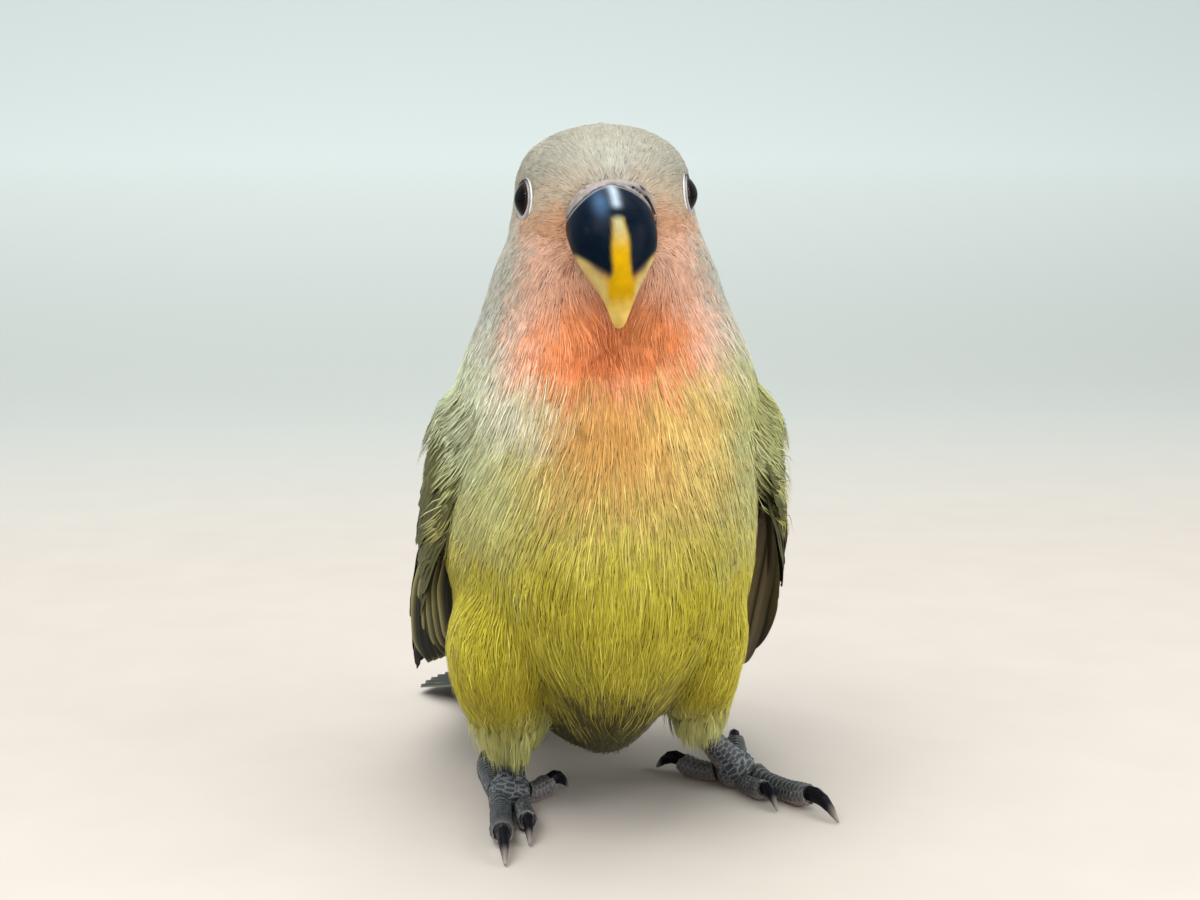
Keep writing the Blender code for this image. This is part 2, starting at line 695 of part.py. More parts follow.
def wing_core(parts):
    """The wing's feathered arm: a lens that follows the shell and thins towards the flight feathers."""
    rings = []
    for i in range(WING_CORE["rings"]):
        place = i / (WING_CORE["rings"] - 1)
        s = 0.02 + WING_CORE["length"] * place
        half = WING_CORE["thickness"] / 2 * math.sqrt(max(1.02 - place**2.4, 0.02)) * min(1.0, 0.55 + 3 * place)
        ring = []
        for k in range(WING_CORE["sides"]):
            turn = 2 * math.pi * k / WING_CORE["sides"]
            t = 0.5 - 0.48 * math.cos(turn)
            ring.append(shell_point(s, t) + shell_normal(s, t) * (half * math.sin(turn)))
        rings.append(ring)
    return loft("wing_core", rings, parts)


def along(pair, share):
    return tuple(a + (b - a) * share for a, b in zip(*pair))


def wing_vanes(parts):
    """The wing's feathers, tier by tier, each from its root on the core to its tip."""
    made = []
    for tier in WING_TIERS:
        places = feather_places(tier["spans"])
        for i in range(tier["count"]):
            share = i / (tier["count"] - 1)
            (s0, t0), (s1, t1) = along(tier["roots"], share), along(tier["tips"], share)
            width, lift = (a + (b - a) * share for a, b in (tier["width"], tier["lift"]))
            path, normals = [], []
            for place in places:
                s, t = s0 + (s1 - s0) * place, t0 + (t1 - t0) * place**0.8
                normals.append(shell_normal(s, t))
                path.append(shell_point(s, t) + normals[-1] * (lift - ROOT_SINK * (1 - place)))
            made.append(vane(path, places, normals, width, math.radians(tier["tilt"]), parts))
    return made


def make_wing(side, neighbours, parts):
    wing = wing_core(parts)
    wing.name = f"wing_{side}"
    join_all(wing, wing_vanes(parts))
    if side == "right":
        wing.data.transform(Matrix.Scale(-1, 4, Vector((1, 0, 0))))
        edited(wing, lambda work: bmesh.ops.reverse_faces(work, faces=work.faces))
    for vert in wing.data.vertices:
        vert.co.x += WING_SWING * tail_line(vert.co.y)
    cut_clear(wing, neighbours)
    return wing


# Tail: a core of coverts with two tiers of vanes
def tail_vane(start, end, offset, sizes, parts):
    """One tail feather, fanned out by its offset from -1 to 1 and swung with the tail."""
    places = feather_places(sizes["spans"])
    path = [start.lerp(end, k) + Vector((0, 0, sizes["arch"] * math.sin(2.2 * k))) for k in places]
    path = swung(path)
    tilt = math.radians(sizes["tilt"]) * (1 if offset > 0 else -1)
    return vane(path, places, [TAIL_NORMAL] * len(path), sizes["width"], tilt, parts)


def make_tail(torso, parts):
    tail = loft("tail", [swung(section_ring(row, TAIL_SIDES)) for row in smooth_rows(TAIL_CORE, 2)], parts)
    root, tip = Vector((0, *TAIL_ROOT)), Vector((0, *TAIL_TIP))
    vanes = []
    sizes = TAIL_FEATHERS
    for i in range(sizes["count"]):
        offset = 2 * i / (sizes["count"] - 1) - 1
        drop = sizes["stack"] * abs(offset)
        start = root + Vector((sizes["root_fan"] * offset, 0, -0.4 * drop))
        end = tip + Vector((sizes["fan"] * offset, -sizes["shorter"] * offset**2, sizes["stack"] - drop))
        vanes.append(tail_vane(start, end, offset, sizes, parts))
    sizes = TAIL_COVERTS
    for i in range(sizes["count"]):
        offset = 2 * i / (sizes["count"] - 1) - 1
        drop = sizes["stack"] * abs(offset)
        start = root + Vector((sizes["root_fan"] * offset, sizes["ahead"], sizes["stack"] - drop))
        reach = Vector(((sizes["fan"] - sizes["root_fan"]) * offset, sizes["length"] - 2 * abs(offset), -sizes["fall"]))
        vanes.append(tail_vane(start, start + reach, offset, sizes, parts))
    join_all(tail, vanes)
    cut_clear(tail, [torso])
    return tail


# Finishing: the head's tilt, the origin, units and materials
def turn_head(mesh):
    """Turns and tilts what lies above the neck, easing in over the neck's height."""
    low, high = HEAD_TURN_HEIGHTS
    for vert in mesh.vertices:
        share = smoothstep(vert.co.z, low, high)
        if share > 0:
            pivot = Vector((0, HEAD_AXIS_Y, low))
            turn = Matrix.Rotation(HEAD_TURN * share, 3, "Z") @ Matrix.Rotation(-HEAD_TILT * share, 3, "Y")
            vert.co = pivot + turn @ (vert.co - pivot)


def settle(parts):
    """Puts the origin on the floor under the middle of the bird's box, and turns millimetres to metres."""
    corners = np.array([tuple(v.co) for o in parts.objects for v in o.data.vertices])
    low, high = corners.min(0), corners.max(0)
    middle = Vector(((low[0] + high[0]) / 2, (low[1] + high[1]) / 2, 0.0))
    move = Matrix.Scale(MM, 4) @ Matrix.Translation(-middle)
    for piece in parts.objects:
        piece.data.transform(move)
        piece.data.shade_smooth()
        piece.data.set_sharp_from_angle(angle=math.radians(40))
    print("origin moved by", [round(c, 4) for c in middle])


def paint(parts):
    kinds = {
        "head": ("crown", 0.85), "neck": ("neck", 0.85), "torso": ("body", 0.85), "thigh": ("body", 0.85),
        "wing": ("wing", 0.7), "tail": ("tail", 0.7), "bill_upper": ("bill", 0.25), "bill_lower": ("horn", 0.3),
        "cere": ("cere", 0.6), "eye": ("eye", 0.1), "tarsus": ("scales", 0.6), "toe": ("scales", 0.6),
        "claw": ("claw", 0.3),
    }
    made = {name: material(name, colour, 0.5) for name, colour in COLOURS.items()}
    for piece in parts.objects:
        kind, roughness = next(kinds[k] for k in kinds if piece.name.startswith(k))
        made[kind].node_tree.nodes["Principled BSDF"].inputs["Roughness"].default_value = roughness
        piece.data.materials.clear()
        piece.data.materials.append(made[kind])


def main():
    parts = start_scene()
    whole, head, neck, torso = part_body(parts)
    tree = BVHTree.FromObject(whole, bpy.context.evaluated_depsgraph_get())
    make_head(head, neck, tree, parts)
    legs = make_legs(torso, parts)
    thighs = [legs["thigh_right"], legs["thigh_left"]]
    for side in ("right", "left"):
        make_wing(side, [torso, neck, *thighs], parts)
    make_tail(torso, parts)
    bpy.data.objects.remove(whole)
    for piece in parts.objects:
        turn_head(piece.data)
    settle(parts)
    paint(parts)


main()
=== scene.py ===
# The looks of a young peach faced lovebird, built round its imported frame:
# skin, feathers, wings, tail, bill, eyes and scaled feet, then floor, light and camera.
# Shapes are worked out in millimetres with the bird facing -Y, before the head is turned,
# and toFrame() turns the head and brings them to the frame's place in metres.
import math

import bpy
import numpy as np
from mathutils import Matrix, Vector
from mathutils.bvhtree import BVHTree
from mathutils.kdtree import KDTree


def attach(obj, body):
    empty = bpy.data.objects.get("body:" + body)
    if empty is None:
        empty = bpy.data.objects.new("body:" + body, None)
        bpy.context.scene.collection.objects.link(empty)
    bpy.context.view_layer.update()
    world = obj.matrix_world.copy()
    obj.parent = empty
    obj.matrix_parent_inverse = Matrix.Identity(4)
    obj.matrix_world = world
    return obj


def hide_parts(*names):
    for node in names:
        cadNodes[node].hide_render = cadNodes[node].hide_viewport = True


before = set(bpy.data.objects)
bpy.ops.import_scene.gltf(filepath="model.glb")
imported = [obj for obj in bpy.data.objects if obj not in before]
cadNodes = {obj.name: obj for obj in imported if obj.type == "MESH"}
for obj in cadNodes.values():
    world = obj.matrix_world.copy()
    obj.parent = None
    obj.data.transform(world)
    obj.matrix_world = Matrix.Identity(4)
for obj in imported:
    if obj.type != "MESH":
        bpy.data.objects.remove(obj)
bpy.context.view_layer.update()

mm = 0.001
sides = {"right": -1, "left": 1}

# The bird's stance, as its frame has it
stance = {
    "originShift": (2.021, 20.0342, 0),
    "headTurn": math.radians(-2), "headTilt": math.radians(1.8),
    "headHeights": (54, 66), "headAxisY": -3,
    "tailSwing": 16.5, "tailSwingSpan": (18, 64), "tailSwingPower": 1.6, "wingSwing": 0.15,
}


# Small helpers for numbers and curves
def smoothStep(x, low, high):
    t = np.clip((x - low) / (high - low), 0, 1)
    return t * t * (3 - 2 * t)


def bump(x, middle, reach):
    return np.exp(-(((x - middle) / reach) ** 2))


def unit(v):
    return v / np.maximum(np.linalg.norm(v, axis=-1, keepdims=True), 1e-9)


# Catmull-Rom rows at places from 0, the first row, to 1, the last
def rowsAt(rows, places):
    table = np.array(rows, float)
    padded = np.vstack([2 * table[0] - table[1], table, 2 * table[-1] - table[-2]])
    along = np.clip(np.atleast_1d(places), 0, 1) * (len(table) - 1)
    i = np.minimum(along.astype(int), len(table) - 2)
    t = (along - i)[..., None]
    a, b, c, d = padded[i], padded[i + 1], padded[i + 2], padded[i + 3]
    return 0.5 * (2 * b + (c - a) * t + (2 * a - 5 * b + 4 * c - d) * t**2 + (3 * b - a - 3 * c + d) * t**3)


def tailLine(y):
    low, high = stance["tailSwingSpan"]
    return -stance["tailSwing"] * np.maximum((y - low) / (high - low), 0.0) ** stance["tailSwingPower"]


# Turns and tilts what lies above the neck, and moves millimetres to the frame's metres
def toFrame(points):
    p = np.array(points, float).reshape(-1, 3)
    low, high = stance["headHeights"]
    share = smoothStep(p[:, 2], low, high)
    a, b = stance["headTurn"] * share, -stance["headTilt"] * share
    x, y, z = p[:, 0], p[:, 1] - stance["headAxisY"], p[:, 2] - low
    x1, z1 = x * np.cos(b) + z * np.sin(b), -x * np.sin(b) + z * np.cos(b)
    x2, y2 = x1 * np.cos(a) - y * np.sin(a), x1 * np.sin(a) + y * np.cos(a)
    turned = np.stack([x2, y2 + stance["headAxisY"], z1 + low], axis=1)
    return (turned - np.array(stance["originShift"])) * mm


# Small helpers for meshes
def activate(piece):
    bpy.ops.object.select_all(action="DESELECT")
    piece.select_set(True)
    bpy.context.view_layer.objects.active = piece


# Works on all of a piece in edit mode
def edited(piece, operator, **settings):
    activate(piece)
    bpy.ops.object.mode_set(mode="EDIT")
    bpy.ops.mesh.select_all(action="SELECT")
    operator(**settings)
    bpy.ops.object.mode_set(mode="OBJECT")


# Adds a modifier with these settings and applies it
def applied(piece, kind, **settings):
    modifier = piece.modifiers.new(kind.lower(), kind)
    for key, value in settings.items():
        setattr(modifier, key, value)
    activate(piece)
    bpy.ops.object.modifier_apply(modifier=modifier.name)


# A mesh object from arrays of points and of faces with the same number of corners
def meshPiece(name, points, faces):
    points, faces = np.asarray(points, np.float32), np.asarray(faces, np.int32)
    mesh = bpy.data.meshes.new(name)
    mesh.vertices.add(len(points))
    mesh.vertices.foreach_set("co", points.ravel())
    corners = faces.shape[1]
    mesh.loops.add(faces.size)
    mesh.loops.foreach_set("vertex_index", faces.ravel())
    mesh.polygons.add(len(faces))
    mesh.polygons.foreach_set("loop_start", np.arange(0, faces.size, corners, dtype=np.int32))
    mesh.update(calc_edges=True)
    mesh.validate()
    mesh.shade_smooth()
    piece = bpy.data.objects.new(name, mesh)
    bpy.context.scene.collection.objects.link(piece)
    return piece


def pointsOf(piece):
    points = np.zeros(len(piece.data.vertices) * 3, np.float32)
    piece.data.vertices.foreach_get("co", points)
    return points.reshape(-1, 3).astype(float)


def normalsOf(piece):
    normals = np.zeros(len(piece.data.vertices) * 3, np.float32)
    piece.data.vertex_normals.foreach_get("vector", normals)
    return normals.reshape(-1, 3).astype(float)


def movePoints(piece, points):
    piece.data.vertices.foreach_set("co", np.asarray(points, np.float32).ravel())
    piece.data.update()


# A colour for each vertex, as an attribute that a material reads
def addColour(piece, name, colours):
    layer = piece.data.color_attributes.new(name, "FLOAT_COLOR", "POINT")
    rgba = np.ones((len(colours), 4), np.float32)
    rgba[:, :3] = colours
    layer.data.foreach_set("color", rgba.ravel())


# A UV map from a place for each vertex
def addUv(piece, name, uv):
    layer = piece.data.uv_layers.new(name=name)
    corner = np.zeros(len(piece.data.loops), np.int32)
    piece.data.loops.foreach_get("vertex_index", corner)
    layer.data.foreach_set("uv", np.asarray(uv, np.float32)[corner].ravel())


def searchTree(points):
    tree = KDTree(len(points))
    for i, point in enumerate(points):
        tree.insert(point, i)
    tree.balance()
    return tree


# Quads between rows of points, closed round each row where wrap is set
def gridFaces(rows, columns, wrap=True):
    count = columns if wrap else columns - 1
    i, k = np.meshgrid(np.arange(rows - 1), np.arange(count), indexing="ij")
    a, b = i * columns + k, i * columns + (k + 1) % columns
    return np.stack([a, b, b + columns, a + columns], axis=-1).reshape(-1, 4)


# A closed skin through rings of points, each end drawn to a pole
def loftPiece(name, rings, startPole, endPole):
    rows, columns = rings.shape[:2]
    points = np.vstack([rings.reshape(-1, 3), startPole, endPole])
    k = np.arange(columns)
    last = (rows - 1) * columns
    first = np.stack([(k + 1) % columns, k, np.full(columns, len(points) - 2)], axis=1)
    final = np.stack([last + k, last + (k + 1) % columns, np.full(columns, len(points) - 1)], axis=1)
    mesh = bpy.data.meshes.new(name)
    faces = [*gridFaces(rows, columns).tolist(), *first.tolist(), *final.tolist()]
    mesh.from_pydata(points.tolist(), [], faces)
    piece = bpy.data.objects.new(name, mesh)
    bpy.context.scene.collection.objects.link(piece)
    edited(piece, bpy.ops.mesh.normals_make_consistent, inside=False)
    piece.data.shade_smooth()
    return piece


def joined(name, pieces):
    activate(pieces[0])
    for piece in pieces:
        piece.select_set(True)
    bpy.ops.object.join()
    made = bpy.context.view_layer.objects.active
    made.name = made.data.name = name
    return made


# The last step for a piece: its material, its body and the CAD nodes it stands for
def settle(piece, material, replaced=()):
    piece.data.materials.clear()
    piece.data.materials.append(material)
    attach(piece, "root")
    if replaced:
        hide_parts(*replaced)


# Small helpers for materials
def newMaterial(name, roughness, specular=0.5, sheen=0.0):
    material = bpy.data.materials.new(name)
    material.use_nodes = True
    shader = material.node_tree.nodes["Principled BSDF"]
    shader.inputs["Roughness"].default_value = roughness
    shader.inputs["Specular IOR Level"].default_value = specular
    shader.inputs["Sheen Weight"].default_value = sheen
    return material, material.node_tree, shader


def node(tree, kind, **settings):
    made = tree.nodes.new("ShaderNode" + kind)
    for key, value in settings.items():
        if key in made.inputs:
            made.inputs[key].default_value = value
        else:
            setattr(made, key, value)
    return made


# The output of a colour mix. Each of the three is a socket or a plain value
def mixed(tree, share, first, second, mode="MIX"):
    mix = tree.nodes.new("ShaderNodeMix")
    mix.data_type = "RGBA"
    mix.blend_type = mode
    for index, value in ((0, share), (6, first), (7, second)):
        if isinstance(value, bpy.types.NodeSocket):
            tree.links.new(value, mix.inputs[index])
        elif index == 0:
            mix.inputs[0].default_value = value
        else:
            mix.inputs[index].default_value = (*value, 1.0)
    return mix.outputs[2]


# The output of a colour ramp with (place, grey or colour) stops
def ramp(tree, value, stops):
    made = tree.nodes.new("ShaderNodeValToRGB")
    tree.links.new(value, made.inputs[0])
    elements = made.color_ramp.elements
    while len(elements) < len(stops):
        elements.new(0.5)
    for element, (place, colour) in zip(elements, stops):
        element.position = place
        element.color = (*((colour,) * 3 if isinstance(colour, (int, float)) else colour), 1.0)
    return made.outputs["Color"]


# A texture on the piece's own place
def textured(tree, kind, **settings):
    made = node(tree, kind, **settings)
    tree.links.new(node(tree, "TexCoord").outputs["Object"], made.inputs["Vector"])
    return made


# The base colour: an attribute of the piece times a shade
def paintedBy(tree, shader, attribute, shade):
    colour = node(tree, "Attribute", attribute_name=attribute).outputs["Color"]
    tree.links.new(mixed(tree, 1.0, colour, shade, "MULTIPLY"), shader.inputs["Base Color"])


# A sum of one value or two, each of them a socket or a plain number
def maths(tree, operation, *values):
    made = node(tree, "Math", operation=operation)
    for socket, value in zip(made.inputs, values):
        if isinstance(value, bpy.types.NodeSocket):
            tree.links.new(value, socket)
        else:
            socket.default_value = value
    return made.outputs[0]


def bumped(tree, shader, height, strength, distance):
    made = node(tree, "Bump", Strength=strength, Distance=distance)
    tree.links.new(height, made.inputs["Height"])
    tree.links.new(made.outputs["Normal"], shader.inputs["Normal"])


# The body's form, from crown to tail: front y, front z, back y, back z, half width, and how much
# narrower the front is between the thighs
bodyForm = {
    "sway": (-1.1, 40, 11),
    "sections": [
        (-8.6, 89.3, 1, 89.4, 5.3, 0), (-13.2, 87.1, 5.6, 87.3, 8.8, 0),
        (-15.9, 84.2, 8.4, 84.4, 10.6, 0), (-17, 80.6, 10, 80.8, 11.1, 0),
        (-16.9, 76.4, 10.9, 76.6, 12.1, 0), (-16, 72.2, 11.7, 72.2, 13.9, 0),
        (-15.6, 68, 12.8, 67.6, 15.4, 0), (-17, 63.4, 14.8, 63.2, 17.3, 0),
        (-19.4, 58, 17.6, 58.4, 19.1, 0), (-22, 52, 21.2, 53.4, 19.8, 0),
        (-24.2, 45, 25, 48.4, 20.1, 0), (-25, 38, 28.8, 43.4, 20.5, 0),
        (-23.6, 31, 32.2, 38.4, 20.7, 0.06), (-19.6, 24, 35.2, 33.5, 20.3, 0.2),
        (-13.6, 17.3, 37.8, 29, 19.2, 0.42), (-7, 11.8, 40, 25, 17.6, 0.55),
        (1, 8.1, 41.6, 21.8, 15.4, 0.5), (10, 6.4, 42.6, 19.2, 13, 0.25),
        (20, 6, 43.2, 17.4, 11, 0), (29, 5.8, 43.8, 15.6, 9.2, 0), (34, 4.4, 46, 12.8, 9, 0),
        (40, 3.3, 49, 9.9, 8.8, 0), (46, 2.7, 52, 7.3, 7, 0), (49, 3.2, 53, 5.6, 4.6, 0),
    ],
    "crownPole": (0, -3.8, 90.4), "tailPole": (-8.6, 52, 4.6),
    "sides": 48, "steps": 4, "voxel": 0.70, "smoothing": 10, "shrink": 0.9,
}
thighForm = {
    "right": [
        (-12.8, -4.5, 31.5, 6.2, 11), (-14, -3.8, 26, 6.7, 11.6), (-14.2, -2, 20, 6.3, 10),
        (-13.1, 1.2, 14.6, 5.4, 7.6), (-12, 4.2, 10.6, 4.2, 5.3), (-11.7, 5.6, 7.8, 3.2, 3.8),
    ],
    "left": [
        (10.8, -4, 31.5, 6.2, 11), (11.1, -3, 26, 6.6, 11.6), (11.6, -1, 20, 5.6, 10),
        (12.4, 2.8, 14.6, 4.6, 7.4), (13.3, 6.4, 11.4, 3.9, 5.2), (14, 8.6, 9.2, 3.1, 3.7),
    ],
    "sides": 24, "steps": 4,
}


# Rings round sections whose rows are front y, front z, back y, back z, half width and narrowing
def sectionRings(rows, columns):
    turn = 2 * np.pi * np.arange(columns) / columns
    share = (1 - np.cos(turn)) / 2
    rows = np.asarray(rows)
    narrower = 1 - rows[:, 5:6] * (1 - share) ** 2 if rows.shape[1] > 5 else 1.0
    y = rows[:, 0:1] + (rows[:, 2:3] - rows[:, 0:1]) * share
    z = rows[:, 1:2] + (rows[:, 3:4] - rows[:, 1:2]) * share
    return np.stack([rows[:, 4:5] * np.sin(turn) * narrower, y, z], axis=-1)


def denseRows(rows, steps):
    return rowsAt(rows, np.linspace(0, 1, (len(rows) - 1) * steps + 1))


def bodyLoft():
    rings = sectionRings(denseRows(bodyForm["sections"], bodyForm["steps"]), bodyForm["sides"])
    rings[..., 0] += tailLine(rings[..., 1])
    by, height, reach = bodyForm["sway"]
    rings[..., 0] += by * bump(rings[..., 2], height, reach) * smoothStep(-rings[..., 1], -10, 0)
    return loftPiece("bodyLoft", rings, bodyForm["crownPole"], bodyForm["tailPole"])


def thighLoft(side):
    rows = denseRows(thighForm[side], thighForm["steps"])
    turn = 2 * np.pi * np.arange(thighForm["sides"]) / thighForm["sides"]
    x = rows[:, 0:1] + rows[:, 3:4] * np.cos(turn)
    y = rows[:, 1:2] + rows[:, 4:5] * np.sin(turn)
    z = np.broadcast_to(rows[:, 2:3], x.shape)
    first, last = rows[0], rows[-1]
    rings = np.stack([x, y, z], axis=-1)
    return loftPiece("thighLoft", rings, first[:3] + (0, 0, 1.0), last[:3] - (0, 0, 0.6))


# The coat: tufts of fine barbs, rooted in the skin and combed along the marks
coatForm = {
    "seed": 20, "candidates": 6, "jitter": 0.055, "pathNodes": 5, "closer": 0.95, "flatter": 0.42,
    "longer": 1.12,
    "down": {
        "kept": 1, "reach": 1, "proud": (0.84, 1, 0.92), "rings": (0, 0.46, 1), "spread": 0.24,
        "paleTip": 0.16, "paleFrom": 1.5, "fine": {"barbs": 7, "width": 0.095, "tone": 0.03, "turn": 0.07},
        "broad": {"barbs": 8, "width": 0.155, "tone": 0.05, "turn": 0.2},
    },
    "strands": {
        "kept": 0.36, "reach": 1.4, "proud": (1, 1.24, 1.36), "rings": (0, 0.3, 0.66, 1), "spread": 0.22,
        "paleTip": 0.42, "paleFrom": 0.8, "fine": {"barbs": 5, "width": 0.08, "tone": 0.05, "turn": 0.08},
        "broad": {"barbs": 5, "width": 0.11, "tone": 0.07, "turn": 0.24},
    },
    # The barbs' pale tips, set by each layer's paleTip and by the tip colour and shares in this table, are
    # a painted highlight; shade is painted shade at the roots
    "thickness": 0.4, "wander": 0.2, "tipHighlight": (0.13, 0.12, 0.085), "patch": 0.003, "bodyReach": 19.5,
    "lap": {
        "above": 0.8, "furthest": 4.8, "shorter": 0.74, "from": 11, "back": 9, "heights": (22, 59),
        "bow": 1.3, "search": (30, 40), "out": -0.25,
    },
    "hem": {
        "height": 12.6, "below": 4, "above": 5, "chance": 0.7, "shorter": (0.3, 0.62), "lie": 0.4,
        "out": 9.5, "depths": (-9, 16),
    },
    "ownNormal": 0.3, "shade": (0.96, 0.08), "fineTipHighlight": 0.45, "tipHighlightKeep": 0.62, "wingTone": 0.08,
    "ragged": 0.2, "lengths": (0.82, 1.18),
}
# One barb: where it starts and ends on its tuft's path, how it rises, how wide it is along itself
barbForm = {
    "scatter": 0.12, "start": 0.22, "sideShorter": 0.30, "endScatter": 0.06, "tuftWidths": (0.8, 1.2),
    "wanderShare": 0.12, "spreads": 1.7, "gathers": 0.35, "riseAt": (0, 0.14, 0.42, 0.8, 1.1),
    "rooted": (-0.25, 0.3), "tuftHeights": (0.85, 1.12), "heightScatter": 0.07,
    "widthAt": (0, 0.35, 0.7, 1), "widths": (0.6, 1.0, 0.8, 0), "barbWidths": (0.75, 1.25),
    "turnShare": 0.7,
}

# Marks for combing the coat, each at a place on the left half and mirrored to the right:
# place, lie of the feathers, feather length, distance between feathers, depth of the coat
combMarks = [
    ((0, -17, 86), (0, 0.45, 1), 1.9, 0.38, 0.5),
    ((4, -16, 85), (0.7, 0.5, 0.7), 1.9, 0.38, 0.5),
    ((0, -10, 88.6), (0, 1, 0.4), 2.6, 0.44, 0.6),
    ((0, -2, 90.2), (0, 1, 0), 3, 0.52, 0.75),
    ((7, -4, 88), (0.6, 0.85, -0.1), 3, 0.52, 0.75),
    ((0, 8, 85), (0, 0.5, -0.9), 3.8, 0.7, 0.9),
    ((7, 7, 80), (0.1, 0.5, -0.9), 3.8, 0.7, 0.9),
    ((0, 11.5, 76), (0, 0.1, -1), 4.6, 0.8, 1),
    ((6.8, -15, 80), (0.8, 0.6, 0.15), 1.5, 0.35, 0.42),
    ((6, -15.5, 76), (0.8, 0.5, -0.25), 1.7, 0.36, 0.5),
    ((9.5, -9.5, 85.6), (0.5, 0.85, 0.15), 1.8, 0.38, 0.5),
    ((11.2, -3.5, 81), (0.1, 1, -0.35), 2.2, 0.42, 0.55),
    ((10, -11, 77), (0.5, 0.7, -0.5), 2, 0.40, 0.55),
    ((9.5, -13, 72.5), (0.5, 0.35, -0.85), 3, 0.46, 0.7),
    ((13, -1, 74), (0.2, 0.6, -0.8), 3.8, 0.6, 0.9),
    ((4.6, -15.8, 70.6), (-0.1, -0.5, -1), 3.8, 0.42, 0.9),
    ((8.2, -14.6, 69), (0.35, -0.05, -1), 4.6, 0.46, 0.95),
    ((3.4, -15.8, 67.2), (-0.6, -0.5, -0.8), 2.8, 0.42, 0.9),
    ((1.4, -15.5, 65.2), (-0.2, -0.5, -0.9), 3, 0.46, 1),
    ((5.4, -16, 63.6), (0.1, -0.3, -1), 5.2, 0.54, 1.2),
    ((0, -17.5, 60.5), (0, -0.25, -1), 5.4, 0.62, 1.2),
    ((12.5, -9, 65), (0.42, 0.1, -0.95), 5.4, 0.66, 1.1),
    ((8, -16.5, 58.5), (0.3, -0.2, -1), 5.2, 0.7, 1.2),
    ((16, -6, 58), (0.5, 0.2, -0.9), 5.6, 0.8, 1.2),
    ((0, -21, 53), (0, -0.2, -1), 6.2, 0.8, 1.4),
    ((9, -20, 49), (0.3, -0.05, -1), 6.6, 0.82, 1.5),
    ((0, -24.5, 42), (0, 0, -1), 7.4, 0.86, 1.6),
    ((12, -18.5, 42), (0.5, 0.05, -0.9), 7.4, 0.86, 1.6),
    ((17.5, -10, 46), (0.95, 0.3, -0.75), 7.2, 0.84, 1.6),
    ((18.5, -7, 37), (1, 0.35, -0.8), 7.4, 0.88, 1.7),
    ((0, -24, 31), (0, 0.2, -1), 7.8, 0.86, 1.7),
    ((11, -18.5, 32), (0.12, 0.2, -1), 7.8, 0.9, 1.7),
    ((9, -17.5, 25), (-0.22, 0.3, -1), 7.4, 0.9, 1.7),
    ((0, -15, 18.5), (0, 0.55, -0.8), 7, 0.9, 1.6),
    ((5, -8, 16), (-0.35, 0.5, -0.8), 6.6, 0.9, 1.5),
    ((0, 0, 8.6), (0, 1, -0.05), 6.4, 1, 1.5),
    ((0, 20, 6), (0, 1, 0.02), 6.8, 1.2, 1.4),
    ((-8, 42, 3.2), (-0.3, 1, -0.1), 6.8, 1.15, 1),
    ((0, 15, 63), (0, 0.45, -0.9), 5.8, 0.95, 1.2),
    ((10, 11, 62), (0.15, 0.4, -0.9), 5.8, 0.95, 1.2),
    ((0, 24.5, 48.5), (0, 0.65, -0.75), 7, 1.1, 1.4),
    ((11, 18, 50), (0.1, 0.65, -0.75), 7, 1.1, 1.4),
    ((-1, 35, 34), (-0.1, 0.6, -0.8), 7.4, 1.15, 1.4),
    ((-4, 42.5, 20), (-0.2, 0.5, -0.85), 7.4, 1.15, 1.3),
    ((-7, 48, 10), (-0.35, 0.85, -0.5), 7, 1.1, 0.9),
    ((20, 12, 30), (0, 0.8, -0.6), 6.6, 1.4, 1.3),
    ((14, 28, 20), (-0.1, 0.9, -0.4), 6.6, 1.4, 1.3),
    ((21.5, -2, 46), (0.25, 0.6, -0.8), 4.6, 0.8, 1),
    ((21.5, 2, 53), (0.1, 0.7, -0.7), 4.6, 0.85, 1),
    ((13, -15, 24), (0.05, 0.15, -1), 6.4, 0.84, 1.5),
    ((18.5, -4, 22), (0.02, 0.15, -1), 6.2, 0.86, 1.5),
    ((8, -3, 20), (-0.05, 0.2, -1), 5.6, 0.95, 1.3),
    ((13, -6.5, 15), (0, 0.3, -1), 6.2, 0.74, 1.2),
    ((13, 9.5, 17), (0, -0.2, -1), 5, 0.9, 1.2),
    ((13, -0.5, 10.5), (0, 0.20, -1), 5.2, 0.5, 0.9),
    ((13, 10.5, 10.5), (0, -0.15, -1), 5, 0.6, 0.9),
]


# Arrays of the marks' places and values, with those off the middle mirrored
def combField():
    places, values = [], []
    for place, lie, length, spacing, depth in combMarks:
        for sign in (1, -1) if place[0] > 0 else (1,):
            places.append((sign * place[0], place[1], place[2]))
            values.append((sign * lie[0], lie[1], lie[2], length, spacing, depth))
    return np.array(places, float), np.array(values, float)


combPlaces, combValues = combField()


# (lie, length, spacing, depth) at points, blended from the nearest marks
def combed(points):
    lies, sizes = [], []
    for chunk in np.array_split(points, max(len(points) // 20000, 1)):
        gap = ((chunk[:, None, :] - combPlaces[None]) ** 2).sum(-1)
        weight = 1 / (gap + 4) ** 2
        weight /= weight.sum(1, keepdims=True)
        value = weight @ combValues
        lies.append(value[:, :3])
        sizes.append(value[:, 3:])
    sizes = np.vstack(sizes) * (coatForm["longer"], coatForm["closer"], coatForm["flatter"])
    return unit(np.vstack(lies)), *sizes.T


